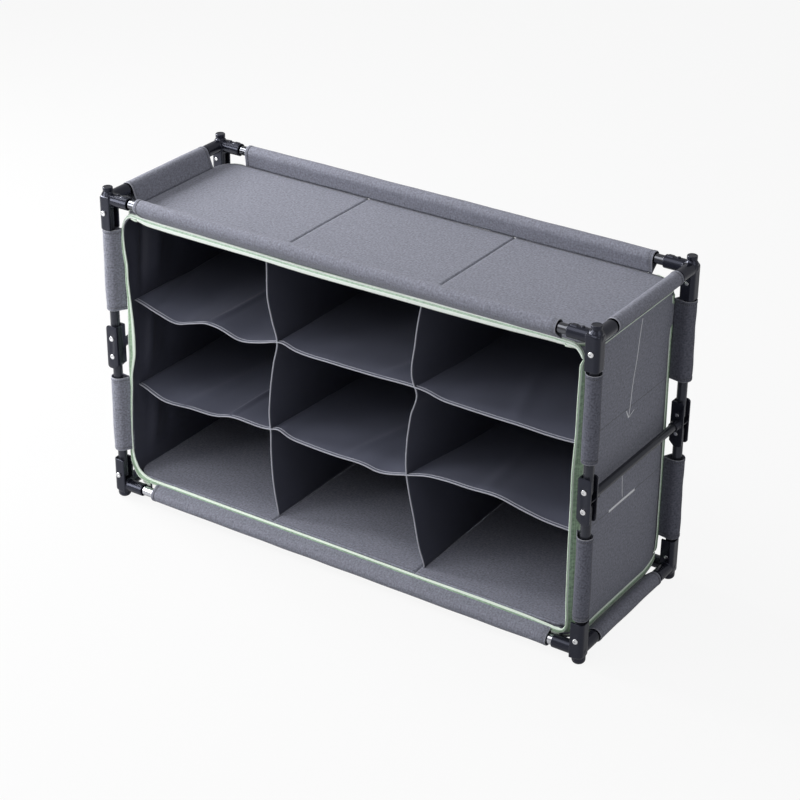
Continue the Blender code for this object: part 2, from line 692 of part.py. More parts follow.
# Back, dividers and shelves
back = taken(box(
    (-INSIDE_X, BOX_HALF_Y - CLOTH, FLOOR_Z + GAP), (INSIDE_X, BOX_HALF_Y, CEILING_Z - GAP)
))
add_piece("back_panel", back, INNER_FABRIC)
for number, side in ((0, "left"), (1, "right")):
    add_piece(f"divider_{side}", divider(number), INNER_FABRIC)
for level, height in zip(("lower", "upper"), SHELVES_Z):
    add_piece(f"shelf_{level}", shelf(level, height), INNER_FABRIC)

# Side walls with their post sleeves
wall = side_wall()
for side, sign in SIDES:
    add_piece(f"side_wall_{side}", mirrored(wall, -sign), PANEL_FABRIC, (sign * HALF_X, 0, 0))

# Mint tapes along the front and back edges of the floor and the top
tape_half_x = PANEL_HALF_X - CORNER_CUT
low_z = FLOOR_Z - PANEL_THICKNESS - TAPE_OVERHANG
high_z = CEILING_Z + PANEL_THICKNESS + TAPE_OVERHANG
for level, low, high, holder in (
    ("bottom", low_z, low_z + BOTTOM_TAPE, None),
    ("top", high_z - TOP_TAPE, high_z, "top_frame_axis"),
):
    tape = taken(box((-tape_half_x, -TAPE_OUTER_Y, low), (tape_half_x, TAPE - TAPE_OUTER_Y, high)))
    for end, way in ENDS:
        add_piece(f"tape_{level}_{end}", mirrored(tape, y=-way), TAPE_FABRIC, (0, 0, 0), holder)
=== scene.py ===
import math

import bmesh
import bpy
import numpy as np
from mathutils import Matrix, Vector


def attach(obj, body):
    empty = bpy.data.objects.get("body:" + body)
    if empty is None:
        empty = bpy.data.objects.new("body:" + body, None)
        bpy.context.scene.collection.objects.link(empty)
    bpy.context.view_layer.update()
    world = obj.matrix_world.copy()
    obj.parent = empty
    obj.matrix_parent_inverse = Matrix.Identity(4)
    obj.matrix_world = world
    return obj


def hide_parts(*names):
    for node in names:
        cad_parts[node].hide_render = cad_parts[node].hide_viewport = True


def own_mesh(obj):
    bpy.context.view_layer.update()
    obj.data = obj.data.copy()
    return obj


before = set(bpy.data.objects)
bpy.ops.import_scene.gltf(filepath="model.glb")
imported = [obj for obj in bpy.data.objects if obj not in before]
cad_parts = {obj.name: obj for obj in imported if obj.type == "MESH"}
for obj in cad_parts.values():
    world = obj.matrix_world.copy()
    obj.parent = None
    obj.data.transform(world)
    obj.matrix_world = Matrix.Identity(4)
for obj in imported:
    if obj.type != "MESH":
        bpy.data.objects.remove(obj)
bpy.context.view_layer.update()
print("frame loaded:", len(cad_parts), "nodes")

# The frame's lines, in metres, as the CAD has them, and where the cloth meets it
rig = {
    "postX": 0.445, "postY": 0.1455, "railsZ": {"bottom": 0.023, "top": 0.5455}, "tubeR": 0.008,
    "pivotsZ": (0.0445, 0.268, 0.3005, 0.524), "bracketZ": 0.28425,
    "floorZ": 0.0485, "ceilingZ": 0.520, "panelX": 0.4255, "panelY": 0.1378, "cornerR": 0.033,
    "insideX": 0.424, "insideFrontY": -0.1185, "insideBackY": 0.1340,
    "shelfBackZ": {"upper": 0.3628, "lower": 0.2057}, "dividerBackX": {"left": -0.136, "right": 0.144},
}


class Wire:
    # one socket of a material, so that shader maths reads as plain sums
    def __init__(self, tree, socket=None):
        self.tree = tree
        self.socket = socket

    def add(self, kind, settings=None, values=None, out=0):
        node = self.tree.nodes.new(kind)
        for name, value in (settings or {}).items():
            setattr(node, name, value)
        for name, value in (values or {}).items():
            if isinstance(value, Wire):
                self.tree.links.new(value.socket, node.inputs[name])
            else:
                node.inputs[name].default_value = value
        return Wire(self.tree, node.outputs[out])

    def maths(self, operation, *values):
        return self.add("ShaderNodeMath", {"operation": operation}, dict(enumerate(values)))

    def __add__(self, other):
        return self.maths("ADD", self, other)

    def __sub__(self, other):
        return self.maths("SUBTRACT", self, other)

    def __rsub__(self, other):
        return self.maths("SUBTRACT", other, self)

    def __mul__(self, other):
        return self.maths("MULTIPLY", self, other)

    def __gt__(self, other):
        return self.maths("GREATER_THAN", self, other)

    def __lt__(self, other):
        return self.maths("LESS_THAN", self, other)

    __radd__ = __add__
    __rmul__ = __mul__

    def near(self, value, width):
        # 1 where this is within width of a value
        return self.maths("ABSOLUTE", self - value) < width

    def wave(self, pitch):
        return self.maths("SINE", self * (2 * math.pi / pitch))

    def blend(self, first, second):
        # two colours, mixed by this value
        return self.add("ShaderNodeMix", {"data_type": "RGBA"}, {0: self, 6: first, 7: second}, 2)

    def stretched(self, x, y, z):
        return self.add("ShaderNodeVectorMath", {"operation": "MULTIPLY"}, {0: self, 1: (x, y, z)})

    def noise(self, scale, detail=2.0, rough=0.5):
        return self.add("ShaderNodeTexNoise", None,
                        {"Vector": self, "Scale": scale, "Detail": detail, "Roughness": rough})

    def part(self, axis):
        return self.add("ShaderNodeSeparateXYZ", None, {0: self}, axis)


def newMaterial(name, fixed):
    made = bpy.data.materials.new(name)
    made.use_nodes = True
    shader = made.node_tree.nodes["Principled BSDF"]
    for socket, value in fixed.items():
        shader.inputs[socket].default_value = value
    return made, shader, Wire(made.node_tree)


def feed(made, shader, colour, roughness, height, strength, distance):
    bump = height.add("ShaderNodeBump", None, {"Strength": strength, "Distance": distance, "Height": height})
    for wire, socket in ((colour, "Base Color"), (roughness, "Roughness"), (bump, "Normal")):
        made.node_tree.links.new(wire.socket, shader.inputs[socket])
    return made


def shaded(c, k):
    return (c[0] * k, c[1] * k, c[2] * k, 1.0)


def clothPlace(start):
    # where a point is on its cloth, in metres, and its edge attribute
    place = start.add("ShaderNodeUVMap", {"uv_map": "metres"})
    return place, start.add("ShaderNodeAttribute", {"attribute_name": "edge"}, None, 2)


# What all woven cloth shares: stitches, rim and the painted shade of the stitch groove by their distance from
# a hem, and how strongly each shows
weave = {"stitchIn": 0.0052, "stitchHalf": 0.0005, "stitchPitch": 0.0032, "stitchFrom": -0.4,
         "grooveHalf": 0.0011, "grooveShade": 0.45, "rim": (0.00002, 0.0011), "rimPale": 0.22,
         "paleColour": (0.80, 0.81, 0.85, 1), "slubLean": 0.14, "tones": (0.50, 1.50), "roughSpread": 0.2,
         "heights": {"basket": 0.4, "fleck": 0.6, "groove": 1.5}, "bumpDistance": 0.0004}


def wovenCloth(name, look, marks=None):
    # a plain weave; the edge attribute is the distance from a hem, and 0 where a sheet has none
    fixed = {"Specular IOR Level": look["gloss"], "Sheen Weight": look["sheen"], "Sheen Roughness": 0.4}
    made, shader, start = newMaterial(name, fixed)
    place, edge = clothPlace(start)
    across = place.part(0)
    along = place.part(1)
    basket = across.wave(look["pitch"]) * along.wave(look["pitch"])
    slubs = place.stretched(1.0, weave["slubLean"], 1.0).noise(look["grain"]) * 0.5
    slubs = slubs + place.stretched(weave["slubLean"], 1.0, 1.0).noise(look["grain"]) * 0.5
    fleck = place.noise(look["fleck"])
    cloud = place.noise(look["cloudScale"], 3.0)
    tone = (slubs - 0.5) * look["heather"] + (fleck - 0.5) * look["speckle"] + (cloud - 0.5) * look["cloud"]
    tone = tone + basket * look["threadShade"] + 0.5
    stitch = (across + along).wave(weave["stitchPitch"]) > weave["stitchFrom"]
    stitch = stitch * edge.near(weave["stitchIn"], weave["stitchHalf"])
    # the stitch groove and any sewn lines are darkened below: painted shade in the groove
    groove = edge.near(weave["stitchIn"], weave["grooveHalf"])
    rim = (edge > weave["rim"][0]) * (edge < weave["rim"][1])
    pale = rim.maths("MAXIMUM", stitch * look["stitchPale"], rim * weave["rimPale"])
    if marks:
        sewn, drawn = marks(across, along)
        groove = groove.maths("MAXIMUM", groove, sewn)
        pale = pale.maths("MAXIMUM", pale, drawn)
    darkest, lightest = (shaded(look["colour"], k) for k in weave["tones"])
    colour = (tone - groove * weave["grooveShade"]).blend(darkest, lightest)
    colour = pale.blend(colour, weave["paleColour"])
    rough = look["roughness"] + (slubs - 0.5) * weave["roughSpread"]
    high = weave["heights"]
    height = basket * high["basket"] + slubs + fleck * high["fleck"] - groove * high["groove"]
    return feed(made, shader, colour, rough, height, look["relief"], weave["bumpDistance"])


# The walls' marks. Each stroke: how it leans, where it would cross height 0, its half width, its lower and
# upper end, and its strength
wallMarks = {"seamHalf": 0.0009, "stitchFrom": 0.2, "stitchPale": 0.10, "barZ": (0.2051, 0.0021),
             "barY": (0.003, 0.041),
             "strokes": [(0.174, -0.0523, 0.0009, 0.3455, 0.4995, 1.0),
                         (2.55, -0.8733, 0.0017, 0.3455, 0.3522, 1.1),
                         (-0.55, 0.1978, 0.0010, 0.3455, 0.3605, 1.1),
                         (-0.102, 0.0259, 0.0008, 0.2110, 0.2562, 0.85)]}


def sewnLevels(across, along):
    # the walls and the back are sewn to the shelves at two heights; the seam lines are darkened with the
    # stitch groove's painted shade
    sewn = sum(along.near(height, wallMarks["seamHalf"]) for height in rig["shelfBackZ"].values())
    stitch = across.wave(weave["stitchPitch"]) > wallMarks["stitchFrom"]
    return sewn, sewn * stitch * wallMarks["stitchPale"]


def rightWallMarks(across, along):
    # hairlines: an arrow down the upper half, a short line and a bar on the lower
    sewn, pale = sewnLevels(across, along)
    drawn = along.near(*wallMarks["barZ"]) * across.near(*wallMarks["barY"])
    for lean, start, half, low, high, strength in wallMarks["strokes"]:
        drawn = drawn + (across - along * lean).near(start, half) * (along > low) * (along < high) * strength
    return sewn, pale.maths("MAXIMUM", pale, drawn)


# Stiff panels: a board in cloth with rounded corners, and seams where the dividers and sleeves meet it; the
# seam lines are darkened with painted shade
panelLook = {"thickness": 0.003, "seamsX": (-0.135, 0.143), "seamsY": (-0.1345, 0.1345), "seamDeep": 0.0017,
             "seamWide": 0.0022, "seamHalf": 0.0008, "seamShade": 0.8, "frontSag": 0.0015, "puff": 0.0004,
             "columns": 150, "rows": 60, "arcSteps": 12}


def panelSeamsAndShade(across, along):
    # the dividers' seams across a panel, and the sleeves' seams along it: painted shade in the dividers' seam
    # grooves, and a painted shadow line where the sleeves meet the panel
    sewn = sum(across.near(seam, panelLook["seamHalf"]) for seam in panelLook["seamsX"])
    sewn = sewn + sum(along.near(seam, panelLook["seamHalf"]) for seam in panelLook["seamsY"])
    return sewn * panelLook["seamShade"], 0.0


oxfordLook = {"colour": (0.190, 0.196, 0.238), "pitch": 0.0011, "grain": 700.0, "heather": 1.1,
              "cloudScale": 26.0, "fleck": 300.0, "speckle": 1.1, "cloud": 0.12, "threadShade": 0.05,
              "roughness": 0.86, "relief": 0.45, "gloss": 0.25, "sheen": 0.10, "stitchPale": 0.14}
coatedLook = {"colour": (0.046, 0.049, 0.071), "pitch": 0.0008, "grain": 1100.0, "heather": 0.30,
              "cloudScale": 14.0, "fleck": 500.0, "speckle": 0.3, "cloud": 0.25, "threadShade": 0.03,
              "roughness": 0.46, "relief": 0.16, "gloss": 0.5, "sheen": 0.06, "stitchPale": 0.20}
# litLook and shadedLook are lighter and darker copies of the same oxford cloth: painted light and painted
# shade
litLook = dict(oxfordLook, colour=(0.215, 0.222, 0.268))
shadedLook = dict(oxfordLook, colour=(0.104, 0.108, 0.138))
oxfordCloth = wovenCloth("oxford_cloth", oxfordLook)
wallCloth = wovenCloth("oxford_wall_cloth", oxfordLook, sewnLevels)
# the right wall's cloth is the lighter copy of the oxford cloth: painted light
rightWallCloth = wovenCloth("oxford_right_wall_cloth_painted_lit", litLook, rightWallMarks)
topCloth = wovenCloth("oxford_top_cloth", oxfordLook, panelSeamsAndShade)
# the floor panel's cloth is a lighter copy of the top's: painted light
floorCloth = wovenCloth("oxford_floor_cloth_painted_lit", dict(oxfordLook, colour=(0.212, 0.219, 0.268)), panelSeamsAndShade)
# post sleeves take the lighter copy on the left and the darker one on the right: painted light and painted
# shade
postCloth = {-1: wovenCloth("oxford_left_post_cloth_painted_lit", dict(litLook, speckle=1.5)),
             1: wovenCloth("oxford_right_post_cloth_painted_shade", dict(shadedLook, speckle=1.5))}
coatedCloth = wovenCloth("coated_cloth", coatedLook)
# the shelves' cloth is a lighter copy of the coated cloth: painted light
shelfCloth = wovenCloth("coated_shelf_cloth_painted_lit", dict(coatedLook, colour=(0.102, 0.109, 0.150)))

# What all tapes share. Each painted highlight along an edge or fold: where it is across the tape, and its
# half width
ribbed = {"fuzz": 700.0, "clump": 330.0, "clumpLean": 0.6, "foldHighlights": ((0.95, 0.14), (2.0, 0.20)),
          "innerAt": 0.12, "tones": (0.35, 1.65), "relief": 0.45, "bumpDistance": 0.0003}


def ribbedTape(name, look):
    # the edge attribute says how far across the tape a point is: face 0 to 1, flank 1 to 2
    made, shader, start = newMaterial(name, {"Specular IOR Level": 0.25, "Sheen Weight": 0.10})
    place, share = clothPlace(start)
    ribs = place.part(0).wave(look["rib"])
    fuzz = place.noise(ribbed["fuzz"])
    clump = place.stretched(1.0, ribbed["clumpLean"], 1.0).noise(ribbed["clump"])
    # pale lines along the tape's inner edge and its folds: painted highlights
    foldHighlight = share.near(ribbed["innerAt"], look["paleWide"])
    for at, half in ribbed["foldHighlights"]:
        foldHighlight = foldHighlight + share.near(at, half)
    tone = ribs * 0.10 + (fuzz - 0.5) * 0.5 + (clump - 0.5) * look["speckle"] + 0.5
    darkest, lightest = (shaded(look["colour"], k) for k in ribbed["tones"])
    colour = foldHighlight.maths("MINIMUM", foldHighlight, 1.0)
    colour = colour.blend(tone.blend(darkest, lightest), shaded(look["pale"], 1.0))
    height = ribs * 0.5 + fuzz * 0.5 + foldHighlight
    return feed(made, shader, colour, 0.75 + fuzz * 0.2, height, ribbed["relief"], ribbed["bumpDistance"])


mintTape = ribbedTape("mint_tape_cloth", {"colour": (0.33, 0.47, 0.33), "pale": (0.76, 0.86, 0.76),
                                          "rib": 0.0016, "speckle": 1.0, "paleWide": 0.24})
# the top front tape takes a lighter copy of the mint tape: painted light
litTape = ribbedTape("lit_mint_tape_cloth", {"colour": (0.50, 0.66, 0.52), "pale": (0.86, 0.93, 0.87),
                                               "rib": 0.0016, "speckle": 0.7, "paleWide": 0.42})
paleThread = ribbedTape("pale_hem_cord", {"colour": (0.36, 0.37, 0.42), "pale": (0.36, 0.37, 0.42),
                                          "rib": 0.0010, "speckle": 0.4, "paleWide": 0.2})


def mouldedPlastic(name, look):
    made, shader, start = newMaterial(name, {"Specular IOR Level": 0.5, "Specular Tint": look["tint"]})
    place = start.add("ShaderNodeTexCoord", None, None, 3)
    spark = place.noise(2600.0, 2.0)
    patch = place.noise(22.0, 3.0)
    scuff = place.stretched(1.0, 1.0, 6.0).noise(120.0, 4.0, 0.7)
    tone = patch * 0.5 + (scuff > 0.70) * 0.3
    colour = tone.blend(shaded(look["colour"], 0.8), shaded(look["colour"], 1.5))
    rough = look["roughness"] + (spark - 0.5) * 0.10 + (patch - 0.5) * 0.10
    return feed(made, shader, colour, rough, spark, 0.10, 0.0002)


blackPlastic = mouldedPlastic("black_moulded_plastic", {"colour": (0.009, 0.0095, 0.0145), "roughness": 0.22,
                                                        "tint": (0.74, 0.78, 1.0, 1.0)})


def drawnMetal(name, look):
    fixed = {"Metallic": look["metallic"], "Specular IOR Level": 0.5, "Specular Tint": look["tint"]}
    made, shader, start = newMaterial(name, fixed)
    place = start.add("ShaderNodeTexCoord", None, None, 3)
    drawn = place.noise(1500.0, 3.0)
    patch = place.noise(30.0, 2.0)
    colour = (patch * 0.6 + drawn * 0.4).blend(shaded(look["colour"], 0.85), shaded(look["colour"], 1.15))
    rough = look["roughness"] + (drawn - 0.5) * 0.06 + (patch - 0.5) * 0.05
    return feed(made, shader, colour, rough, drawn, 0.05, 0.0001)


polished = {"metallic": 1.0, "tint": (1.0, 1.0, 1.0, 1.0)}
brightTube = drawnMetal("bright_rail_tube", dict(polished, colour=(0.60, 0.61, 0.65), roughness=0.09))
# the top rails' tube is a dark copy of the polished one: a painted reflection of a dark room
darkReflectionTube = drawnMetal("dark_reflection_rail_tube", dict(polished, colour=(0.13, 0.134, 0.15), roughness=0.10))
darkTube = drawnMetal("dark_painted_tube", {"colour": (0.022, 0.023, 0.029), "roughness": 0.24,
                                            "metallic": 0.0, "tint": (0.80, 0.84, 1.0, 1.0)})
zincScrew = drawnMetal("zinc_screw", dict(polished, colour=(0.80, 0.80, 0.82), roughness=0.24))
print("materials made")


def walked(line):
    # how far along a line each of its points is
    return np.r_[0, np.cumsum(np.linalg.norm(np.diff(line, axis=0), axis=1))]


def smoothLine(points, steps):
    # a smooth line through a few points, read at even steps
    points = np.array(points, float)
    place = walked(points)
    slope = np.gradient(points, place, axis=0)
    at = np.linspace(0, place[-1], steps)
    k = np.clip(np.searchsorted(place, at, side="right") - 1, 0, len(place) - 2)
    run = (place[k + 1] - place[k])[:, None]
    t = (at - place[k])[:, None] / run
    start = points[k] * (1 + 2 * t) * (1 - t) ** 2 + slope[k] * run * t * (1 - t) ** 2
    return start + points[k + 1] * t * t * (3 - 2 * t) + slope[k + 1] * run * t * t * (t - 1)


def clothMesh(name, grid, facing, closed=False, caps=False, plan=None, hems=None):
    # a mesh from a grid of points (rows, columns, 3), with UVs in metres along both ways
    rows, columns = grid.shape[:2]
    loop = np.concatenate([grid, grid[:, :1]], 1) if closed else grid
    down = walked(grid.mean(1))
    over = np.r_[0, np.cumsum(np.linalg.norm(np.diff(loop, axis=1), axis=2).mean(0))]
    corners = ((0, 0), (0, 1), (1, 1), (1, 0))
    faces, uvs = [], []
    for i in range(rows - 1):
        for j in range(len(over) - 1):
            faces.append(tuple((i + under) * columns + (j + right) % columns for under, right in corners))
            uvs += [(over[j + right], down[i + under]) for under, right in corners]
    if caps:
        for row, order in ((0, -1), (rows - 1, 1)):
            faces.append(tuple(row * columns + j for j in range(columns))[::order])
            uvs += [(over[j], down[row]) for j in range(columns)][::order]
    verts = grid.reshape(-1, 3)
    mesh = bpy.data.meshes.new(name)
    mesh.from_pydata(verts.tolist(), [], faces)
    layer = mesh.uv_layers.new(name="metres")
    if plan:
        # a flat projection of the sheet at rest, so that marks keep their places
        uvs = verts[[corner.vertex_index for corner in mesh.loops]][:, list(plan)]
    layer.data.foreach_set("uv", np.array(uvs, float).ravel())
    if hems is not None:
        mesh.attributes.new("edge", "FLOAT", "POINT").data.foreach_set("value", np.array(hems, float))
    mesh.update()
    centres = np.array([face.center for face in mesh.polygons])
    normals = np.array([face.normal * face.area for face in mesh.polygons])
    if (normals * facing(centres)).sum() < 0:
        mesh.flip_normals()
    mesh.shade_smooth()
    piece = bpy.data.objects.new(name, mesh)
    bpy.context.scene.collection.objects.link(piece)
    return piece


def towards(x, y, z):
    return lambda centres: np.tile((x, y, z), (len(centres), 1))


def fromSpine(spine):
    # outward from the nearest point of a middle line
    def facing(centres):
        return centres - [spine[np.argmin(((spine - c) ** 2).sum(1))] for c in centres]

    return facing


def fromLine(point, axis):
    # outward from a line, such as a sleeve's tube
    point = np.array(point, float)
    axis = np.array(axis, float)

    def facing(centres):
        away = centres - point
        return away - np.outer(away @ axis, axis)

    return facing


def thicken(piece, thickness, offset=-1.0, inner=None):
    solid = piece.modifiers.new("thickness", "SOLIDIFY")
    solid.thickness = thickness
    solid.offset = offset
    if inner:
        piece.data.materials.append(inner)
        solid.material_offset = 1


def dress(piece, body, cloth, slot, *stands):
    piece.data.materials.clear()
    piece.data.materials.append(cloth)
    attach(piece, body)
    if stands:
        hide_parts(*stands)
    return piece


def flatten(piece):
    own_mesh(piece)


def ripple(a, b, seed, scale):
    # a soft unevenness, the same each run
    picks = np.random.default_rng(seed)
    total = 0 * a
    for size in (1.0, 1.7, 2.9):
        angle, shift = picks.uniform(0, math.tau, 2)
        total = total + np.sin((a * math.cos(angle) + b * math.sin(angle)) * scale * size + shift) / size
    return total / 2


def panelGrid(height, sag):
    look = panelLook
    r = rig["cornerR"]
    x = np.linspace(-rig["panelX"], rig["panelX"], look["columns"])
    for seam in look["seamsX"]:
        x = np.r_[x, seam + np.linspace(-0.005, 0.005, 13)]
    ends = rig["panelX"] - r * (1 - np.sin(np.linspace(0, math.pi / 2, look["arcSteps"])))
    x = np.unique(np.round(np.r_[x, ends, -ends], 6))
    halfY = rig["panelY"] - r + np.sqrt(r ** 2 - np.clip(np.abs(x) - (rig["panelX"] - r), 0, r) ** 2)
    gx, gt = np.meshgrid(x, np.linspace(-1, 1, look["rows"]))
    gy = gt * halfY
    z = height - sag * (1 - (gx / rig["panelX"]) ** 2) * ((1 - gy / rig["panelY"]) / 2) ** 2
    z = z + look["puff"] * ripple(gx, gy, 3, 22.0)
    for seam in look["seamsX"]:
        z = z - look["seamDeep"] * np.exp(-((gx - seam) / look["seamWide"]) ** 2)
    return np.stack([gx, gy, z], 2)


for name, body, stands, height, sag, cloth, inner in (
        ("top_panel", "top_frame", "top_cover", rig["ceilingZ"] + panelLook["thickness"],
         panelLook["frontSag"], topCloth, coatedCloth),
        ("floor_panel", "bottom_frame", "floor_cover", rig["floorZ"], 0.0, floorCloth, None)):
    panel = clothMesh(name, panelGrid(height, sag), towards(0, 0, 1), plan=(0, 1))
    dress(panel, body, cloth, "grey_cloth", stands)
    thicken(panel, panelLook["thickness"], inner=inner)

# The floor cloth's dark hem, under the panel's front edge and then down behind the tape, where it is also a
# dark sheet standing in for the shade behind the tape and hangs lower near the right end. Each point: y, z,
# and whether it hangs lower near the right end
floorHemLook = {"path": [(-0.1220, 0.0434, 0), (-0.1280, 0.0440, 0), (-0.1350, 0.0445, 0),
                         (-0.1371, 0.0440, 0), (-0.1375, 0.0425, 1), (-0.1376, 0.0396, 1)],
                "spanX": (-0.398, 0.4115), "columns": 120, "cloth": 0.0008,
                "drop": 0.0085, "dropX": 0.368, "dropOver": 0.022}


def floorHemAndShadeFlap():
    look = floorHemLook
    y, z, hangs = np.array(look["path"]).T
    x = np.repeat(np.linspace(*look["spanX"], look["columns"])[:, None], len(y), 1)
    drop = look["drop"] * np.clip((x - look["dropX"]) / look["dropOver"], 0, 1) * hangs
    piece = clothMesh("floor_front_hem_and_shade_flap", np.stack([x, y + 0 * x, z - drop], 2), towards(0, 0, 1), plan=(0, 1))
    dress(piece, "bottom_frame", coatedCloth, "grey_cloth")
    thicken(piece, look["cloth"])


floorHemAndShadeFlap()
print("panels made")

# Rail sleeves: cloth wrapped tight round the tube and sewn to the panel's edge. A tip is where the wrap meets
# the panel: how far inward from the rail, and how far down or up. Each hem groove: its place, width and depth
sleeveLook = {"radius": 0.0117, "cloth": 0.0011, "hem": 0.0065, "hemProud": 0.0004, "wobble": 0.0004,
              "hemRows": (0, 0.0008, 0.0018, 0.0026, 0.0034, 0.0050, 0.0059, 0.0065, 0.0071, 0.0085),
              "plainFrom": 0.012, "longRows": 60, "shortRows": 22, "arcSteps": 30, "flapSteps": 7,
              "hemGrooves": ((0.0065, 0.0006, 0.0008), (0.0026, 0.0005, 0.0005), (0.0, 0.0007, 0.0007)),
              "longHalf": 0.385, "shortHalf": 0.0985, "bottomFrontSlid": 0.0075,
              "tips": {"top": {"front": (0.0092, 0.0228), "back": (0.0092, 0.0222),
                               "left": (0.0212, 0.0230), "right": (0.0212, 0.0230)},
                       "bottom": {"front": (0.0072, 0.0175), "back": (0.0095, 0.0236),
                                  "left": (0.0185, -0.0005), "right": (0.0185, -0.0005)}}}


def wrapOutline(radius, tip):
    # the taut outline of a round tube and a tip beside it
    reach = math.hypot(*tip)
    lean = math.atan2(tip[1], tip[0])
    parting = math.acos(radius / reach)
    angles = np.linspace(lean + parting, lean + math.tau - parting, sleeveLook["arcSteps"])
    arc = np.stack([radius * np.cos(angles), radius * np.sin(angles)], 1)
    end = np.array(tip)
    share = np.linspace(0, 1, sleeveLook["flapSteps"] + 1)[1:, None]
    down = arc[-1] + (end - arc[-1]) * share
    up = end + (arc[0] - end) * share[:-1]
    return np.concatenate([arc, down, up])


def hemRows(half, middle):
    near = np.array(sleeveLook["hemRows"])
    plain = half - sleeveLook["plainFrom"]
    return np.r_[-half + near, np.linspace(-plain, plain, middle), (half - near)[::-1]]


def sleeveSection(ring, along, half, loose, seed, aroundScale, scale):
    # the outline at one place along a sleeve, with its hem and a soft unevenness
    away = np.linalg.norm(ring, axis=1)
    edge = half - abs(along)
    rise = sleeveLook["hemProud"] if edge < sleeveLook["hem"] else 0
    for place, wide, deep in sleeveLook["hemGrooves"]:
        rise = rise - deep * math.exp(-((edge - place) / wide) ** 2)
    wobble = loose * ripple(along + 0 * away, aroundScale, seed, scale)
    return ring * ((away + rise + wobble) / away)[:, None]


def railSleeve(end, level):
    look = sleeveLook
    name = f"sleeve_{level}_{end}"
    isLong = end in ("front", "back")
    # a grid is made along x, and its first two axes change places for the short sleeves
    axes = [0, 1, 2] if isLong else [1, 0, 2]
    half = look["longHalf" if isLong else "shortHalf"]
    sign = -1 if end in ("front", "left") else 1
    beside = sign * rig["postY" if isLong else "postX"]
    railZ = rig["railsZ"][level]
    up = 1 if level == "top" else -1
    inward, drop = look["tips"][level][end]
    slid = look["bottomFrontSlid"] if (end, level) == ("front", "bottom") else 0.0
    rows = hemRows(half, look["longRows" if isLong else "shortRows"])
    grid = []
    for along in rows:
        sag = 0.0
        if (end, level) == ("front", "top"):
            sag = panelLook["frontSag"] * (1 - (along / rig["panelX"]) ** 2)
        ring = wrapOutline(look["radius"], (inward, -(drop + sag)))
        turn = np.arctan2(ring[:, 1], ring[:, 0])
        ring = sleeveSection(ring, along, half, look["wobble"], len(name), 0.02 * turn, 70.0)
        across = beside - sign * ring[:, 0]
        grid.append(np.stack([along + slid + 0 * across, across, railZ + up * ring[:, 1]], 1))
    facing = fromLine(np.array((0, beside, railZ))[axes], np.array((1, 0, 0))[axes])
    hems = np.repeat(half - np.abs(rows), len(grid[0]))
    piece = clothMesh(name, np.array(grid)[..., axes], facing, closed=True, hems=hems)
    cover = "top_cover" if level == "top" else "floor_cover"
    dress(piece, f"{level}_frame", oxfordCloth, "grey_cloth", cover)
    thicken(piece, look["cloth"])


for level in ("top", "bottom"):
    for end in ("front", "back", "left", "right"):
        railSleeve(end, level)
print("rail sleeves made")

# Post sleeves ride their own half posts, clear of the legs and brackets. Three have slid along their tubes a
# little: how far the lower and the upper end have moved
postSleeveLook = {"radius": 0.0122, "cloth": 0.0011, "wobble": 0.0007, "tip": (0.0198, 0.0100), "rows": 16,
                  "fromLeg": 0.034, "fromBracket": 0.046, "loose": 0.0002, "loosest": 0.0012,
                  "slips": {("front", "left", "upper"): (0.0050, 0.0042),
                            ("front", "left", "lower"): (0.0130, 0.0060),
                            ("back", "right", "upper"): (0.0120, 0.0044)}}


def postSleeve(name, body, sx, sy, low, high, seed, loose):
    look = postSleeveLook
    half = (high - low) / 2
    outline = wrapOutline(look["radius"] + loose, look["tip"])
    turn = np.arctan2(outline[:, 1], outline[:, 0])
    rows = hemRows(half, look["rows"])
    grid = []
    for along in rows:
        slack = look["wobble"] + loose / 3
        ring = sleeveSection(outline, along, half, slack, seed, 0.012 * np.cos(turn), 55.0)
        grid.append(np.stack([sx * (rig["postX"] - ring[:, 0]), sy * (rig["postY"] - ring[:, 1]),
                              (high + low) / 2 + along + 0 * turn], 1))
    facing = fromLine((sx * rig["postX"], sy * rig["postY"], 0), (0, 0, 1))
    hems = np.repeat(half - np.abs(rows), len(outline))
    piece = clothMesh(name, np.array(grid), facing, closed=True, hems=hems)
    dress(piece, body, postCloth[sx], "grey_cloth", "side_wall_left" if sx < 0 else "side_wall_right")
    thicken(piece, look["cloth"])
    round(2 * half, 4)


pivots = rig["pivotsZ"]
sleeveSpans = {"lower": (pivots[0] + postSleeveLook["fromLeg"], pivots[1] - postSleeveLook["fromBracket"]),
               "upper": (pivots[2] + postSleeveLook["fromBracket"], pivots[3] - postSleeveLook["fromLeg"])}
for side, sx in (("left", -1), ("right", 1)):
    for end, sy in (("front", -1), ("back", 1)):
        for part, (low, high) in sleeveSpans.items():
            loose = postSleeveLook["loosest" if (side, end) == ("right", "back") else "loose"]
            slips = postSleeveLook["slips"].get((end, side, part), (0.0, 0.0))
            postSleeve(f"post_sleeve_{part}_{end}_{side}", f"{side}_{part}_posts", sx, sy, low + slips[0],
                       high + slips[1], 7 + sx + 2 * sy + len(part), loose)
print("post sleeves made")

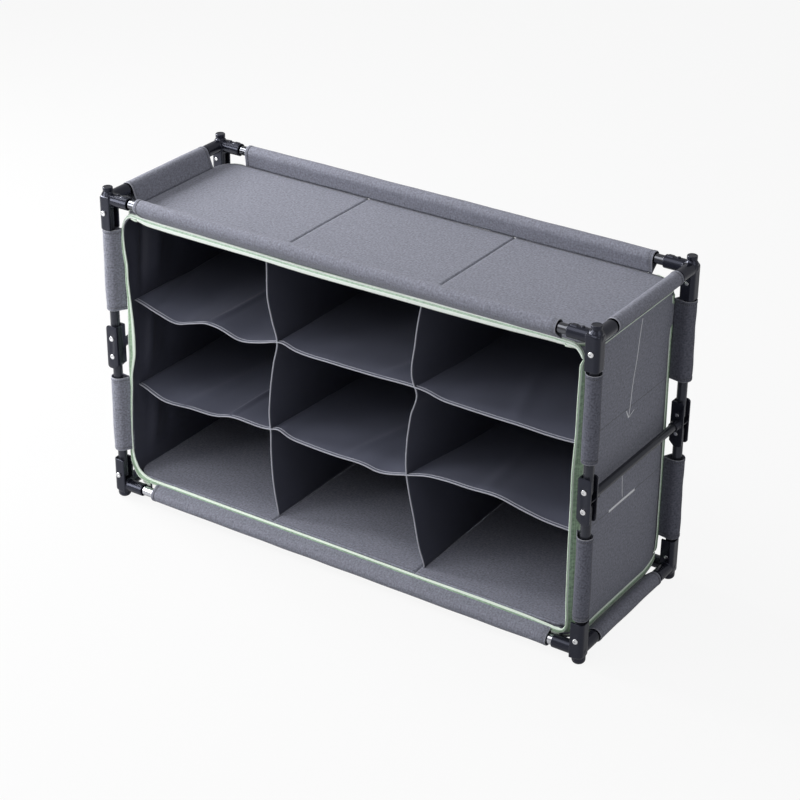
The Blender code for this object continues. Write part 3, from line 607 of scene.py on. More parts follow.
# The front opening's outline, in mm: x from the left post, z from the ground, the tape's outer and inner edge
opening = {
    "left": [(19.5, 499, 22.7, 500), (17.5, 480, 22.5, 481), (17.8, 455, 24.3, 457),
             (21.4, 432, 27.4, 434), (21.0, 405, 27.6, 407), (23.0, 375, 30.0, 377),
             (21.3, 326, 34.1, 330), (19.5, 289, 35.1, 293), (20.1, 267, 33.8, 271),
             (18.4, 250, 30.2, 254), (18.9, 234, 26.1, 236), (19.9, 212, 24.7, 214),
             (17.8, 179, 22.0, 181), (14.2, 122, 19.1, 123), (11.7, 93, 19.1, 95), (11.7, 79, 20.6, 81),
             (13.0, 65, 24.7, 69), (18.8, 52, 31.8, 56.5), (26.7, 40.6, 48.1, 47.5),
             (48.3, 36.1, 77.6, 45.6)],
    "bottom": [(103, 35.3, 103, 46.0), (197, 35.8, 197, 45.7), (318, 36.4, 318, 45.5),
               (406, 36.9, 406, 45.6), (600, 36.2, 600, 45.4)],
    "right": [(730, 36.2, 730, 46.4), (809, 34.8, 809, 45.2), (836, 32.6, 835.8, 43.6),
              (847.2, 33.2, 846.5, 42.4), (857.6, 37.8, 854.3, 43.0), (862.9, 47.4, 860.0, 50.0),
              (863.9, 60.4, 860.6, 60.2), (862.7, 84, 859.5, 84), (861.8, 137, 858.6, 137),
              (861.4, 190, 858.2, 190), (861.4, 227, 858.2, 227), (861.6, 268, 858.4, 268),
              (861.4, 319, 858.2, 319), (862.8, 352, 859.6, 352), (864, 377, 860.8, 377),
              (864.6, 425, 861.2, 425), (866, 473, 862.4, 473), (867.4, 495, 863.8, 495),
              (870.6, 502, 867.4, 502)],
    "top": [(18.8, 495.6, 22.5, 495.8), (24.5, 511.3, 26.5, 508.9), (36.4, 524.3, 39.2, 518.7),
            (50, 525.4, 53, 516.6), (66, 524.6, 66, 513.4), (101, 523.6, 101, 511.8),
            (160, 523.4, 160, 511.3), (240, 522.6, 240, 511.2), (300, 522.0, 300, 511.2),
            (355, 521.6, 355, 510.0), (412, 521.6, 412, 509.8), (467, 521.8, 467, 510.3),
            (521, 522.5, 521, 511.0), (575, 523.3, 575, 511.6), (627, 524.0, 627, 511.8),
            (679, 524.6, 679, 512.6), (730, 525.4, 730, 513.6), (780, 526.0, 780, 515.2),
            (813, 525.8, 813, 516.4), (832, 525.2, 832, 516.6), (845, 524.6, 845, 516.8),
            (856, 522.4, 854.3, 516.2), (864.9, 514.4, 860.8, 510.6), (869.4, 502.9, 865.8, 503)],
}
tapeLook = {"frontY": -0.1392, "backY": 0.1382, "thick": 0.0015, "crown": 0.0006, "lip": 0.0006,
            "flange": 0.0075, "topFlange": 0.004, "rightFlank": 0.0160, "rightX": 0.405, "rightOver": 0.012,
            "flankFrom": 1.4, "flankOut": 0.0013}


def tapeLoop(name, edges, y, back, steps, flange):
    # an L of tape: its face is seen from the front, its flange lies along the wall
    look = tapeLook
    line = smoothLine(edges, steps) / 1000
    outer = line[:, :2] - (rig["postX"], 0)
    inner = line[:, 2:] - (rig["postX"], 0)
    crown = look["crown"]
    # each point: how far across from the inner edge, how deep, and its edge attribute
    section = [(0, 0, 0), (0.2, -crown, 0.2), (0.5, -1.3 * crown, 0.5), (0.8, -crown, 0.8),
               (0.97, -0.2 * crown, 0.97), (1.0, look["lip"], 1.05), (1.0, 0.45 * flange, 1.45),
               (1.0, flange, 2.0), (0.86, flange, 2.0), (0.85, 0.45 * flange, 1.5),
               (0.84, look["thick"] + look["lip"], 1.1), (0.5, look["thick"], 0.5),
               (0.04, look["thick"], 0.1)]
    # the right flank is folded back further along the wall, so its side shows
    frontLower = flange > look["topFlange"] and back > 0
    rightHand = np.clip((outer[:, 0] - look["rightX"]) / look["rightOver"], 0, 1) * frontLower
    turnIn = rig["cornerR"]
    room = np.clip((rig["panelX"] - (outer[:, 0] + inner[:, 0]) / 2) / turnIn, 0, 1)
    grid = []
    for share, depth, fold in section:
        place = inner + (outer - inner) * share
        if fold > look["flankFrom"]:
            depth = depth * (1 + rightHand * (look["rightFlank"] / flange - 1))
            swell = room * np.sqrt(turnIn ** 2 - (turnIn - depth) ** 2) + look["flankOut"]
            place[:, 0] = place[:, 0] + rightHand * swell
        grid.append(np.stack([place[:, 0], y + back * depth + 0 * place[:, 0], place[:, 1]], 1))
    grid = np.array(grid).transpose(1, 0, 2)
    hems = np.tile([fold for share, depth, fold in section], len(grid))
    return clothMesh(name, grid, fromSpine(grid.mean(1)), closed=True, caps=True, hems=hems)


# The back's outlines, given as the front's are
evenU = [(20, 499, 29, 500), (20, 400, 30, 400), (19, 284, 29, 284), (18, 120, 27, 120), (19, 62, 30, 66),
         (28, 43, 46, 50), (52, 37, 76, 47), (160, 36, 160, 46.5), (445, 35, 445, 46),
         (730, 36, 730, 46.5), (838, 36, 830, 46), (860, 38.5, 852, 46.8), (869, 47, 860.5, 55),
         (871.5, 68, 862.5, 72), (872, 120, 863, 120), (871, 284, 861, 284), (870, 400, 860, 400),
         (870, 499, 861, 500)]
evenTop = [(20, 497, 28, 497), (27, 512, 32, 508), (42, 520, 46, 514), (70, 520.5, 72, 511),
           (250, 520, 250, 509), (445, 519.5, 445, 508.5), (640, 520, 640, 509), (820, 520.5, 818, 511),
           (848, 520, 844, 514), (863, 512, 858, 508), (870, 497, 862, 497)]
lowerU = opening["left"] + opening["bottom"] + opening["right"]
frontY, backY, flange = tapeLook["frontY"], tapeLook["backY"], tapeLook["flange"]
for end, level, edges, y, back, steps, tape in (
        ("front", "lower", lowerU, frontY, 1, 330, mintTape),
        ("front", "top", opening["top"], frontY, 1, 200, litTape),
        ("back", "lower", evenU, backY, -1, 300, mintTape),
        ("back", "top", evenTop, backY, -1, 160, mintTape)):
    isTop = level == "top"
    piece = tapeLoop(f"tape_{end}_{level}", edges, y, back, steps, tapeLook["topFlange"] if isTop else flange)
    place = "top" if isTop else "bottom"
    dress(piece, f"{place}_frame", tape, "mint_tape", f"tape_{place}_{end}")
    if not isTop:
        flatten(piece)
print("front and back tapes made")

# Side walls: from the floor's rounded outline to the top's, with the openings' edges as their front and back
wallLook = {"cloth": 0.0011, "columns": 90, "rows": 130, "edgeSteps": 400, "foldFade": 0.05, "foldLean": 0.10,
            "unevenness": 0.0006}


def wallEdge(edges):
    # the middle of an edge's tape, read evenly: its x and z
    line = smoothLine(edges, wallLook["edgeSteps"]) / 1000
    middle = (line[:, :2] + line[:, 2:]) / 2 - (rig["postX"], 0)
    even = np.linspace(0, 1, wallLook["edgeSteps"])
    return [np.interp(np.linspace(0, 1, wallLook["rows"]), even, values)[:, None] for values in middle.T]


def sideWall(side, sign, frontEdges, backEdges, folds):
    look = wallLook
    frontX, frontZ = wallEdge(frontEdges)
    backX, backZ = wallEdge(backEdges)
    start = rig["panelX"] - rig["cornerR"]
    quarter = math.pi / 2 * rig["cornerR"]
    straight = 2 * (rig["panelY"] - rig["cornerR"])
    total = straight + 2 * quarter
    walk = np.linspace(0, total, look["columns"])
    angle = np.clip(walk / quarter, 0, 1) * math.pi / 2
    tail = np.clip((total - walk) / quarter, 0, 1) * math.pi / 2
    bulge = rig["cornerR"] * np.minimum(np.sin(angle), np.sin(tail))
    y = -rig["panelY"] + rig["cornerR"] * (1 - np.cos(angle)) + np.clip(walk - quarter, 0, straight)
    y = y + rig["cornerR"] * np.sin(math.pi / 2 - tail) + 0 * frontX
    share = walk / total
    out = (sign * frontX - start) * (1 - share) + (sign * backX - start) * share
    z = frontZ * (1 - share) + backZ * share
    out = out + bulge * (1 - np.clip(out / rig["cornerR"], 0, 1))
    for place, width, low, high, deep in folds:
        window = np.clip(np.minimum((z - low), (high - z)) / look["foldFade"], 0, 1)
        out = out + deep * window * np.exp(-((y - place - look["foldLean"] * (z - low)) / width) ** 2)
    out = out + look["unevenness"] * ripple(y, z, 11 + sign, 45.0) * np.sin(math.pi * share)
    grid = np.stack([sign * (start + out), y, z], 2)
    piece = clothMesh(f"side_cloth_{side}", grid, towards(sign, 0, 0), plan=(1, 2))
    dress(piece, "bottom_frame", wallCloth if sign < 0 else rightWallCloth, "grey_cloth", f"side_wall_{side}")
    thicken(piece, look["cloth"], inner=coatedCloth)
    flatten(piece)


floorEnd = {-1: (52.5, 30, 52.5, 30), 1: (837.5, 25, 837.5, 25)}
topEnd = {-1: (52.5, 520, 52.5, 520), 1: (837.5, 520, 837.5, 520)}
leftFront = [floorEnd[-1]] + [(p[0] + 3, p[1] + 4, p[2], p[3]) for p in opening["left"][-2:0:-1]]
leftFront = leftFront + [(25, 506, 28, 507), (36, 518, 40, 517), topEnd[-1]]
rightFront = [floorEnd[1]] + opening["right"][4:-2] + [(870, 500, 863, 500), (866, 512, 861, 511), topEnd[1]]
leftBack = [floorEnd[-1]] + evenU[5:0:-1] + [(20, 499, 29, 500), (29, 513, 33, 510), topEnd[-1]]
rightBack = [(859, 25, 859, 25)] + evenU[-6:-1] + [(870, 499, 861, 500), (862, 513, 857, 510), topEnd[1]]
# each fold: where it is, its half width, from and to which height, how deep
leftFolds = [(-0.098, 0.010, 0.36, 0.52, 0.0060), (-0.062, 0.014, 0.37, 0.52, -0.0050),
             (-0.016, 0.018, 0.37, 0.52, 0.0035), (-0.092, 0.011, 0.21, 0.36, -0.0050),
             (-0.048, 0.018, 0.21, 0.36, 0.0045), (-0.088, 0.013, 0.06, 0.2, -0.0048),
             (-0.052, 0.016, 0.06, 0.2, 0.0030)]
rightFolds = [(0.03, 0.03, 0.05, 0.21, 0.0016), (-0.06, 0.03, 0.21, 0.36, 0.0012),
              (0.05, 0.03, 0.37, 0.52, -0.0014)]
sideWall("left", -1, leftFront, leftBack, leftFolds)
sideWall("right", 1, rightFront, rightBack, rightFolds)
print("side walls made")

# Strips round the panels' ends: the mint bindings, and the walls' hems sunk behind the lower ones. The right
# wall's back edge turns less than the panel under it, so the lower strips there are squarer
stripLook = {
    "binding_floor": {"height": 0.0368, "wide": 0.0116, "dip": 0.0083, "square": 0.028, "sunk": 0.0},
    "wall_hem": {"height": 0.0352, "wide": 0.0215, "dip": 0.0, "square": 0.028, "sunk": 0.0036},
    "binding_top": {"height": 0.5190, "wide": 0.0080, "dip": 0.0035, "square": 0.0, "sunk": 0.0},
}
# each point of a strip's section: how far out, and how high as a share of its width
stripSection = [(0.0004, 0.5), (0.0004, -0.5), (0.0011, -0.56), (0.0020, -0.5), (0.0022, 0.0), (0.0020, 0.5),
                (0.0011, 0.56)]


def sideStrip(kind, side, sign):
    # a strip round a panel's rounded end, from the front tape to the back one
    look = stripLook[kind]
    arc = np.linspace(0, math.pi / 2, 12)
    r = rig["cornerR"]
    x = rig["panelX"] - r + r * np.sin(arc)
    y = -rig["panelY"] + r * (1 - np.cos(arc))
    line = np.concatenate([np.stack([x, y], 1), [(rig["panelX"], -0.05), (rig["panelX"], 0.05)],
                           np.stack([x[::-1], -y[::-1]], 1)])
    line = smoothLine(line, 90)
    gone = walked(line)
    square = look["square"] if sign > 0 else 0.0
    line[:, 0] = line[:, 0] + square * gone / gone[-1] * (1 - (line[:, 0] - rig["panelX"] + r) / r)
    slope = np.gradient(line, axis=0)
    away = np.stack([slope[:, 1], -slope[:, 0]], 1) / np.linalg.norm(slope, axis=1)[:, None]
    dip = look["dip"] * np.clip((rig["panelY"] - np.abs(line[:, 1])) / 0.045, 0, 1)
    grid = []
    for out, rise in stripSection:
        place = line + away * (out - look["sunk"])
        z = look["height"] - dip + look["wide"] * rise
        grid.append(np.stack([sign * place[:, 0], place[:, 1], z], 1))
    grid = np.array(grid).transpose(1, 0, 2)
    hems = np.tile([rise + 0.5 for out, rise in stripSection], len(grid))
    piece = clothMesh(f"{kind}_{side}", grid, fromSpine(grid.mean(1)), closed=True, caps=True, hems=hems)
    body = "top_frame" if kind == "binding_top" else "bottom_frame"
    if kind == "wall_hem":
        dress(piece, body, wallCloth, "grey_cloth")
    else:
        dress(piece, body, mintTape, "mint_tape")


for side, sign in (("left", -1), ("right", 1)):
    for kind in stripLook:
        sideStrip(kind, side, sign)

# Back, dividers and shelves. Each crease: where it starts, how it leans, its half width and height
insideLook = {"cloth": 0.0009, "backCloth": 0.001, "hemR": 0.0011, "stitchR": 0.0007, "pipingR": 0.0008,
              "pipingOut": 0.0015, "stitchIn": (0, 0.0050, 0.0008), "shelfSag": 0.0035, "endGap": 0.0003,
              "dividerEase": 1.6, "shelfEase": 1.8, "shelfRipple": 0.0009, "dividerRipple": 0.0008,
              "backOut": 0.0008, "backRipple": 0.0012,
              "creases": {"upper": [(-0.272, 0.02, 0.006, 0.0035), (-0.385, -0.25, 0.010, -0.0030),
                                    (0.060, 0.30, 0.012, 0.0022), (0.300, -0.30, 0.014, 0.0020)],
                          "lower": [(-0.235, 0.01, 0.005, 0.0045), (-0.330, 0.20, 0.012, 0.0025),
                                    (-0.010, 0.25, 0.010, 0.0022), (0.250, -0.15, 0.012, 0.0022)]}}
# their front edges, in mm as above
dividerEdges = {
    "left": [(291, 522), (293.5, 500), (293.5, 462), (293.8, 442), (302.5, 400), (311.4, 366),
             (303.8, 327), (295.5, 269), (293.4, 218), (294.8, 206), (295, 164), (298.7, 106),
             (307.8, 52), (309, 46)],
    "right": [(585, 524), (580.6, 502), (571, 440), (570.3, 363), (572.5, 359), (563.8, 309),
              (557.6, 261), (557.3, 208), (561.7, 181), (572.5, 132), (583.3, 81), (592.8, 52.5),
              (594, 46)],
}
shelfEdges = {
    "upper": [(22, 362), (27, 361), (68, 350), (109, 342.5), (136, 350), (171, 359), (191, 358),
              (238, 348), (278, 356), (311, 366), (317, 367), (344, 361), (416, 359.5), (498, 360),
              (570, 362), (587.5, 361), (621, 354), (655, 353), (711, 353), (762, 353), (799, 352),
              (847, 354), (868, 356)],
    "lower": [(20, 207), (23, 206.5), (70, 191), (130, 193), (183, 195), (209.5, 202), (296, 206),
              (306, 209), (333, 201), (376, 198), (422, 197), (483, 196.5), (496.5, 194), (558, 205),
              (592, 214), (629, 217.5), (668, 218), (725, 220), (763, 212.5), (801, 206.5), (848, 205),
              (868, 205)],
}


def frontOf(edge):
    line = smoothLine(edge, 200) / 1000
    return line - (rig["postX"], 0)


def inwards(share):
    return rig["insideFrontY"] + (rig["insideBackY"] - rig["insideFrontY"]) * share


def dividerSheet(side):
    look = insideLook
    edge = frontOf(dividerEdges[side])
    edge = edge[np.argsort(edge[:, 1])]
    z = np.linspace(rig["floorZ"] + look["endGap"], rig["ceilingZ"] - 0.001, 150)
    front = np.interp(z, edge[:, 1], edge[:, 0])
    share = np.linspace(0, 1, 70)
    back = rig["dividerBackX"][side]
    x = back + (front[:, None] - back) * (1 - share) ** look["dividerEase"]
    gz = z[:, None] + 0 * x
    gy = inwards(share) + 0 * x
    x = x + look["dividerRipple"] * ripple(gy, gz, 21 + len(side), 40.0) * np.sin(math.pi * share)
    piece = clothMesh(f"divider_cloth_{side}", np.stack([x, gy, gz], 2), towards(1, 0, 0), plan=(1, 2))
    dress(piece, "bottom_frame", coatedCloth, "dark_cloth", f"divider_{side}")
    thicken(piece, look["cloth"], 0.0)
    flatten(piece)
    return np.stack([front, 0 * front + rig["insideFrontY"], z], 1)


def shelfSheet(level):
    look = insideLook
    edge = frontOf(shelfEdges[level])
    x = np.linspace(-rig["insideX"], rig["insideX"], 260)
    share = np.linspace(0, 1, 60)
    rest = rig["shelfBackZ"][level]
    gx = x[:, None] + 0 * share
    gy = inwards(share) + 0 * gx
    front = np.interp(x, edge[:, 0], edge[:, 1])[:, None]
    z = rest + (front - rest) * (1 - share) ** look["shelfEase"]
    bay = np.sin(math.pi * np.clip((gx + rig["insideX"]) / (2 * rig["insideX"]) * 3 % 1, 0, 1))
    z = z - look["shelfSag"] * bay * np.sin(math.pi * share)
    z = z + look["shelfRipple"] * ripple(gx, gy, 31 + len(level), 30.0)
    # creases running back from the slack front edge
    for place, lean, wide, high in look["creases"][level]:
        ridge = np.exp(-((gx - place - lean * (gy - rig["insideFrontY"])) / wide) ** 2)
        z = z + high * ridge * np.sin(math.pi * share ** 0.6)
    piece = clothMesh(f"shelf_cloth_{level}", np.stack([gx, gy, z], 2), towards(0, 0, 1), plan=(0, 1))
    dress(piece, "bottom_frame", shelfCloth, "dark_cloth", f"shelf_{level}")
    thicken(piece, look["cloth"], 0.0)
    flatten(piece)
    return np.stack([x, 0 * x + rig["insideFrontY"], z[:, 0]], 1)


def beadAlong(name, line, radius, finish=paleThread, slot="grey_cloth", across=(0, 1.0, 0)):
    # a thin round cord sewn along a cloth's edge
    slope = np.gradient(line, axis=0)
    slope = slope / np.linalg.norm(slope, axis=1)[:, None]
    sideways = np.cross(slope, across)
    sideways = sideways / np.linalg.norm(sideways, axis=1)[:, None]
    turn = np.linspace(0, math.tau, 9)[:-1, None]
    grid = line[:, None] + radius * (np.cos(turn) * sideways[:, None] + np.sin(turn) * np.array(across))
    piece = clothMesh(name, grid, fromSpine(line), closed=True, caps=True)
    dress(piece, "bottom_frame", finish, slot)
    flatten(piece)


for side in ("left", "right"):
    beadAlong(f"hem_divider_{side}", dividerSheet(side), insideLook["hemR"])
for level in ("upper", "lower"):
    line = shelfSheet(level)
    beadAlong(f"hem_shelf_{level}", line, insideLook["hemR"])
    beadAlong(f"stitch_shelf_{level}", line + insideLook["stitchIn"], insideLook["stitchR"])

# a thin piping under each top side sleeve, where the wall is sewn on
pipingLine = np.stack([np.linspace(-0.095, 0.128, 40), 0.5060 + 0.0025 * np.linspace(0, 1, 40) ** 0.5], 1)
for side, sign in (("left", -1), ("right", 1)):
    line = np.insert(pipingLine, 0, sign * (rig["panelX"] + insideLook["pipingOut"]), axis=1)
    beadAlong(f"piping_top_{side}", line, insideLook["pipingR"], mintTape, "mint_tape", (1.0, 0, 0))

z = np.linspace(rig["floorZ"] + insideLook["endGap"], rig["ceilingZ"] - insideLook["endGap"], 70)
gx, gz = np.meshgrid(np.linspace(-rig["insideX"], rig["insideX"], 120), z)
gy = insideLook["backRipple"] * ripple(gx, gz, 41, 18.0) * np.sin(math.pi * (gx / rig["insideX"] + 1) / 2)
gy = gy + rig["insideBackY"] + insideLook["backOut"]
backCloth = clothMesh("back_cloth", np.stack([gx, gy, gz], 2), towards(0, 1, 0), plan=(0, 2))
dress(backCloth, "bottom_frame", wallCloth, "grey_cloth", "back_panel")
thicken(backCloth, insideLook["backCloth"], inner=coatedCloth)
flatten(backCloth)
print("back, dividers and shelves made")

# Hard parts are modelled once with the ordinary edit tools, then copied to their places
def addShape(kind, **settings):
    bpy.ops.object.select_all(action="DESELECT")
    getattr(bpy.ops.mesh, f"primitive_{kind}_add")(**settings)
    bpy.ops.object.transform_apply(location=True, rotation=True, scale=True)
    return bpy.context.object


def block(low, high):
    middle = Vector([(a + b) / 2 for a, b in zip(low, high)])
    shape = addShape("cube", size=1, location=middle)
    size = Matrix.Diagonal((*(b - a for a, b in zip(low, high)), 1))
    shape.data.transform(Matrix.Translation(middle) @ size @ Matrix.Translation(-middle))
    return shape


def rodAlong(axis, radius, low, high, place=(0, 0, 0), sides=48):
    turn = {"x": (0, math.pi / 2, 0), "y": (math.pi / 2, 0, 0), "z": (0, 0, 0)}[axis]
    middle = Vector(place)
    middle["xyz".index(axis)] += (low + high) / 2
    return addShape("cylinder", vertices=sides, radius=radius, depth=high - low, location=middle,
                    rotation=turn)


def pick(shape, mode, test):
    # in edit mode, only what the test says, by its middle and its direction
    bpy.ops.object.select_all(action="DESELECT")
    bpy.context.view_layer.objects.active = shape
    shape.select_set(True)
    bpy.ops.object.mode_set(mode="EDIT")
    bpy.ops.mesh.select_mode(type=mode)
    bpy.ops.mesh.select_all(action="DESELECT")
    made = bmesh.from_edit_mesh(shape.data)
    if mode == "FACE":
        for face in made.faces:
            face.select_set(bool(test(face.calc_center_median(), face.normal)))
    else:
        for edge in made.edges:
            a, b = (vert.co for vert in edge.verts)
            edge.select_set(bool(test((a + b) / 2, (b - a).normalized())))
    bmesh.update_edit_mesh(shape.data)


def done():
    bpy.ops.object.mode_set(mode="OBJECT")


def rounded(shape, width, test, steps=4):
    pick(shape, "EDGE", test)
    bpy.ops.mesh.bevel(offset=width, offset_type="OFFSET", segments=steps, affect="EDGES")
    done()
    return shape


def pushed(shape, test, inset, move):
    # faces inset and then moved, such as a recess in a head
    pick(shape, "FACE", test)
    bpy.ops.mesh.inset(thickness=inset)
    bpy.ops.transform.translate(value=move)
    done()
    return shape


def modified(shape, kind, **settings):
    step = shape.modifiers.new(kind, kind)
    for name, value in settings.items():
        setattr(step, name, value)
    bpy.context.view_layer.objects.active = shape
    bpy.ops.object.modifier_apply(modifier=step.name)
    return shape


def worked(shape, operation, *others):
    for other in others:
        modified(shape, "BOOLEAN", operation=operation, solver="EXACT", object=other)
        bpy.data.objects.remove(other)
    return shape


def copyTo(source, name, flips, move, body, finish, slotName, *stands):
    mesh = source.data.copy()
    mesh.name = name
    mesh.transform(Matrix.Translation(Vector(move)) @ Matrix.Diagonal((*flips, 1)))
    if flips[0] * flips[1] * flips[2] < 0:
        mesh.flip_normals()
    piece = bpy.data.objects.new(name, mesh)
    bpy.context.scene.collection.objects.link(piece)
    return dress(piece, body, finish, slotName, *stands)


def smoothShaded(shape, angle):
    bpy.ops.object.select_all(action="DESELECT")
    bpy.context.view_layer.objects.active = shape
    shape.select_set(True)
    bpy.ops.object.shade_smooth_by_angle(angle=math.radians(angle))
    return shape


# A connector about the crossing of its rails: leg, arms with their bores, and a foot or a stacking stud
connectorLook = {"legX": 0.011, "legY": 0.0125, "legEnd": 0.0505, "legRound": 0.0072, "shoulder": 0.0112,
                 "studShoulder": 0.0072, "shoulderRound": 0.0045, "innerRound": 0.0012, "pivot": 0.0215,
                 "pinR": 0.0025, "through": 0.03, "armR": 0.01075, "armEnd": 0.044, "slot": 0.0086,
                 "slotFloor": 0.0128, "slotRound": 0.0012, "jointR": 0.0118, "boreR": 0.0083,
                 "boreFrom": 0.0145, "mouthR": 0.0095, "mouthDeep": 0.0022, "past": 0.06, "footR": 0.0108,
                 "footEnd": 0.0230, "footRound": 0.0068, "voxel": 0.0006, "kept": 0.30}
studLook = {"collarR": 0.0105, "collarEnd": 0.0085, "coneR": (0.0080, 0.0106), "coneDeep": 0.0045,
            "coneZ": -0.01025, "neckR": 0.0077, "neckZ": (-0.0140, -0.008), "headR": 0.0083,
            "headZ": (-0.0205, -0.0136), "headRounds": (0.0013, 0.0009), "dish": (0.0012, 0.0005),
            "seatR": 0.0074, "seatZ": (-0.0150, -0.0120), "padX": (0.0300, 0.0400), "padHalf": 0.0042,
            "padProud": 0.0007, "padRound": 0.0008, "rivetR": 0.0030, "rivetProud": 0.0014,
            "rivetRound": 0.0011}
hair = 0.0001  # how near a face has to be to count as at an end


def moulded(shape):
    # the union becomes one skin with soft inner corners
    modified(shape, "REMESH", mode="VOXEL", voxel_size=connectorLook["voxel"])
    modified(shape, "SMOOTH", factor=0.5, iterations=9)
    return modified(shape, "DECIMATE", ratio=connectorLook["kept"])


def studHead():
    # the cap on the neck with its dished end, and the rivet of the arm
    look = studLook
    head = rodAlong("z", look["headR"], *look["headZ"])
    rounded(head, look["headRounds"][0], lambda m, d: m.z < look["headZ"][0] + hair, 4)
    rounded(head, look["headRounds"][1], lambda m, d: m.z > look["headZ"][1] - hair, 3)
    pushed(head, lambda m, n: n.z < -0.9, look["dish"][0], (0, 0, look["dish"][1]))
    head = worked(rodAlong("z", look["seatR"], *look["seatZ"]), "UNION", head)
    armR = connectorLook["armR"]
    low = -armR - look["rivetProud"]
    rivet = rodAlong("z", look["rivetR"], low, -armR + 0.002, (connectorLook["pivot"], 0, 0), 24)
    return head, rounded(rivet, look["rivetRound"], lambda m, d: m.z < low + hair, 3)


def connector(withStud):
    look = connectorLook
    stud = studLook
    shoulder = look["studShoulder" if withStud else "shoulder"]
    leg = block((-look["legX"], -look["legY"], -shoulder), (look["legX"], look["legY"], look["legEnd"]))
    rounded(leg, look["legRound"], lambda m, d: m.x < -0.005 and abs(d.z) > 0.9, 6)
    rounded(leg, look["shoulderRound"], lambda m, d: m.z < -shoulder + 1e-5 and m.x < -0.002, 4)
    rounded(leg, look["innerRound"], lambda m, d: m.x > look["legX"] - 1e-5 and abs(d.z) > 0.9, 2)
    parts = [rodAlong(axis, look["armR"], 0, look["armEnd"]) for axis in "xy"]
    parts.append(addShape("uv_sphere", segments=48, ring_count=24, radius=look["jointR"]))
    if withStud:
        parts.append(rodAlong("z", stud["collarR"], -stud["collarEnd"], 0))
        parts.append(addShape("cone", vertices=48, radius1=stud["coneR"][0], radius2=stud["coneR"][1],
                              depth=stud["coneDeep"], location=(0, 0, stud["coneZ"])))
        parts.append(rodAlong("z", stud["neckR"], *stud["neckZ"]))
        pad = block((stud["padX"][0], -stud["padHalf"], -look["armR"] - stud["padProud"]),
                    (stud["padX"][1], stud["padHalf"], -0.004))
        parts.append(rounded(pad, stud["padRound"], lambda m, d: m.z < -look["armR"], 2))
    else:
        foot = rodAlong("z", look["footR"], -look["footEnd"], 0)
        parts.append(rounded(foot, look["footRound"], lambda m, d: m.z < -look["footEnd"] + hair, 7))
    body = moulded(worked(leg, "UNION", *parts))
    if withStud:
        worked(body, "UNION", *studHead())
    slot = block((-look["slot"], -look["slot"], look["slotFloor"]), (0.03, look["slot"], 0.07))
    rounded(slot, look["slotRound"], lambda m, d: m.x < 0 and abs(d.z) > 0.9, 3)
    holes = [rodAlong("y", look["pinR"], -look["through"], look["through"], (0, 0, look["pivot"]), 24)]
    for axis in "xy":
        holes.append(rodAlong(axis, look["boreR"], look["boreFrom"], look["past"]))
        holes.append(rodAlong(axis, look["mouthR"], look["armEnd"] - look["mouthDeep"], look["past"]))
    return smoothShaded(worked(body, "DIFFERENCE", slot, *holes), 34)


# A bracket about its middle: the fork, its rib, and the boss and collar that hold the cross bar
bracketLook = {"x": 0.011, "y": 0.0112, "z": 0.0385, "outerRound": 0.0055, "lowerChamfer": 0.0080,
               "upperRound": 0.0016, "slot": 0.0084, "web": 0.0086, "pivots": 0.01625, "pinR": 0.0025,
               "ribHalf": 0.0008, "bite": 0.001, "bossR": 0.0083, "bossFrom": 0.0012, "bossEnd": 0.0242,
               "bossRound": 0.0009, "collarProud": 0.0009, "collarBack": 0.0085, "boreR": 0.0068,
               "boreFrom": 0.0015, "edge": 0.0005}


def bracket():
    look = bracketLook
    x, y, z, slot, web = (look[name] for name in ("x", "y", "z", "slot", "web"))
    body = block((-x, -y, -z), (x, y, z))
    rounded(body, look["outerRound"], lambda m, d: abs(d.y) > 0.9 and m.x < 0, 6)
    rounded(body, look["lowerChamfer"], lambda m, d: abs(d.y) > 0.9 and m.x > 0 and m.z < 0, 1)
    rounded(body, look["upperRound"], lambda m, d: abs(d.y) > 0.9 and m.x > 0 and m.z > 0, 3)
    gap = block((-x - 0.01, -slot, -z - 0.01), (web, slot, z + 0.01))
    holes = [rodAlong("y", look["pinR"], -0.03, 0.03, (0, 0, side * look["pivots"]), 24) for side in (-1, 1)]
    worked(body, "DIFFERENCE", gap, *holes)
    bite = look["bite"]
    rib = block((-x + bite, -slot - bite, -look["ribHalf"]), (web + bite, slot + bite, look["ribHalf"]))
    low = slot + look["bossFrom"]
    boss = rodAlong("y", look["bossR"], low, look["bossEnd"])
    rounded(boss, look["bossRound"], lambda m, d: m.y > look["bossEnd"] - hair, 3)
    collar = rodAlong("y", look["bossR"] + look["collarProud"], low, look["bossEnd"] - look["collarBack"])
    worked(body, "UNION", rib, boss, collar)
    worked(body, "DIFFERENCE", rodAlong("y", look["boreR"], y + look["boreFrom"], 0.05))
    modified(body, "BEVEL", width=look["edge"], segments=2, limit_method="ANGLE",
             angle_limit=math.radians(50))
    return smoothShaded(body, 34)


screwLook = {"headR": 0.0045, "headRound": 0.42, "socketR": 0.0021, "socketDeep": 0.45, "pinR": 0.0021,
             "endR": 0.0031, "endProud": 0.0011, "endRound": 0.0004}


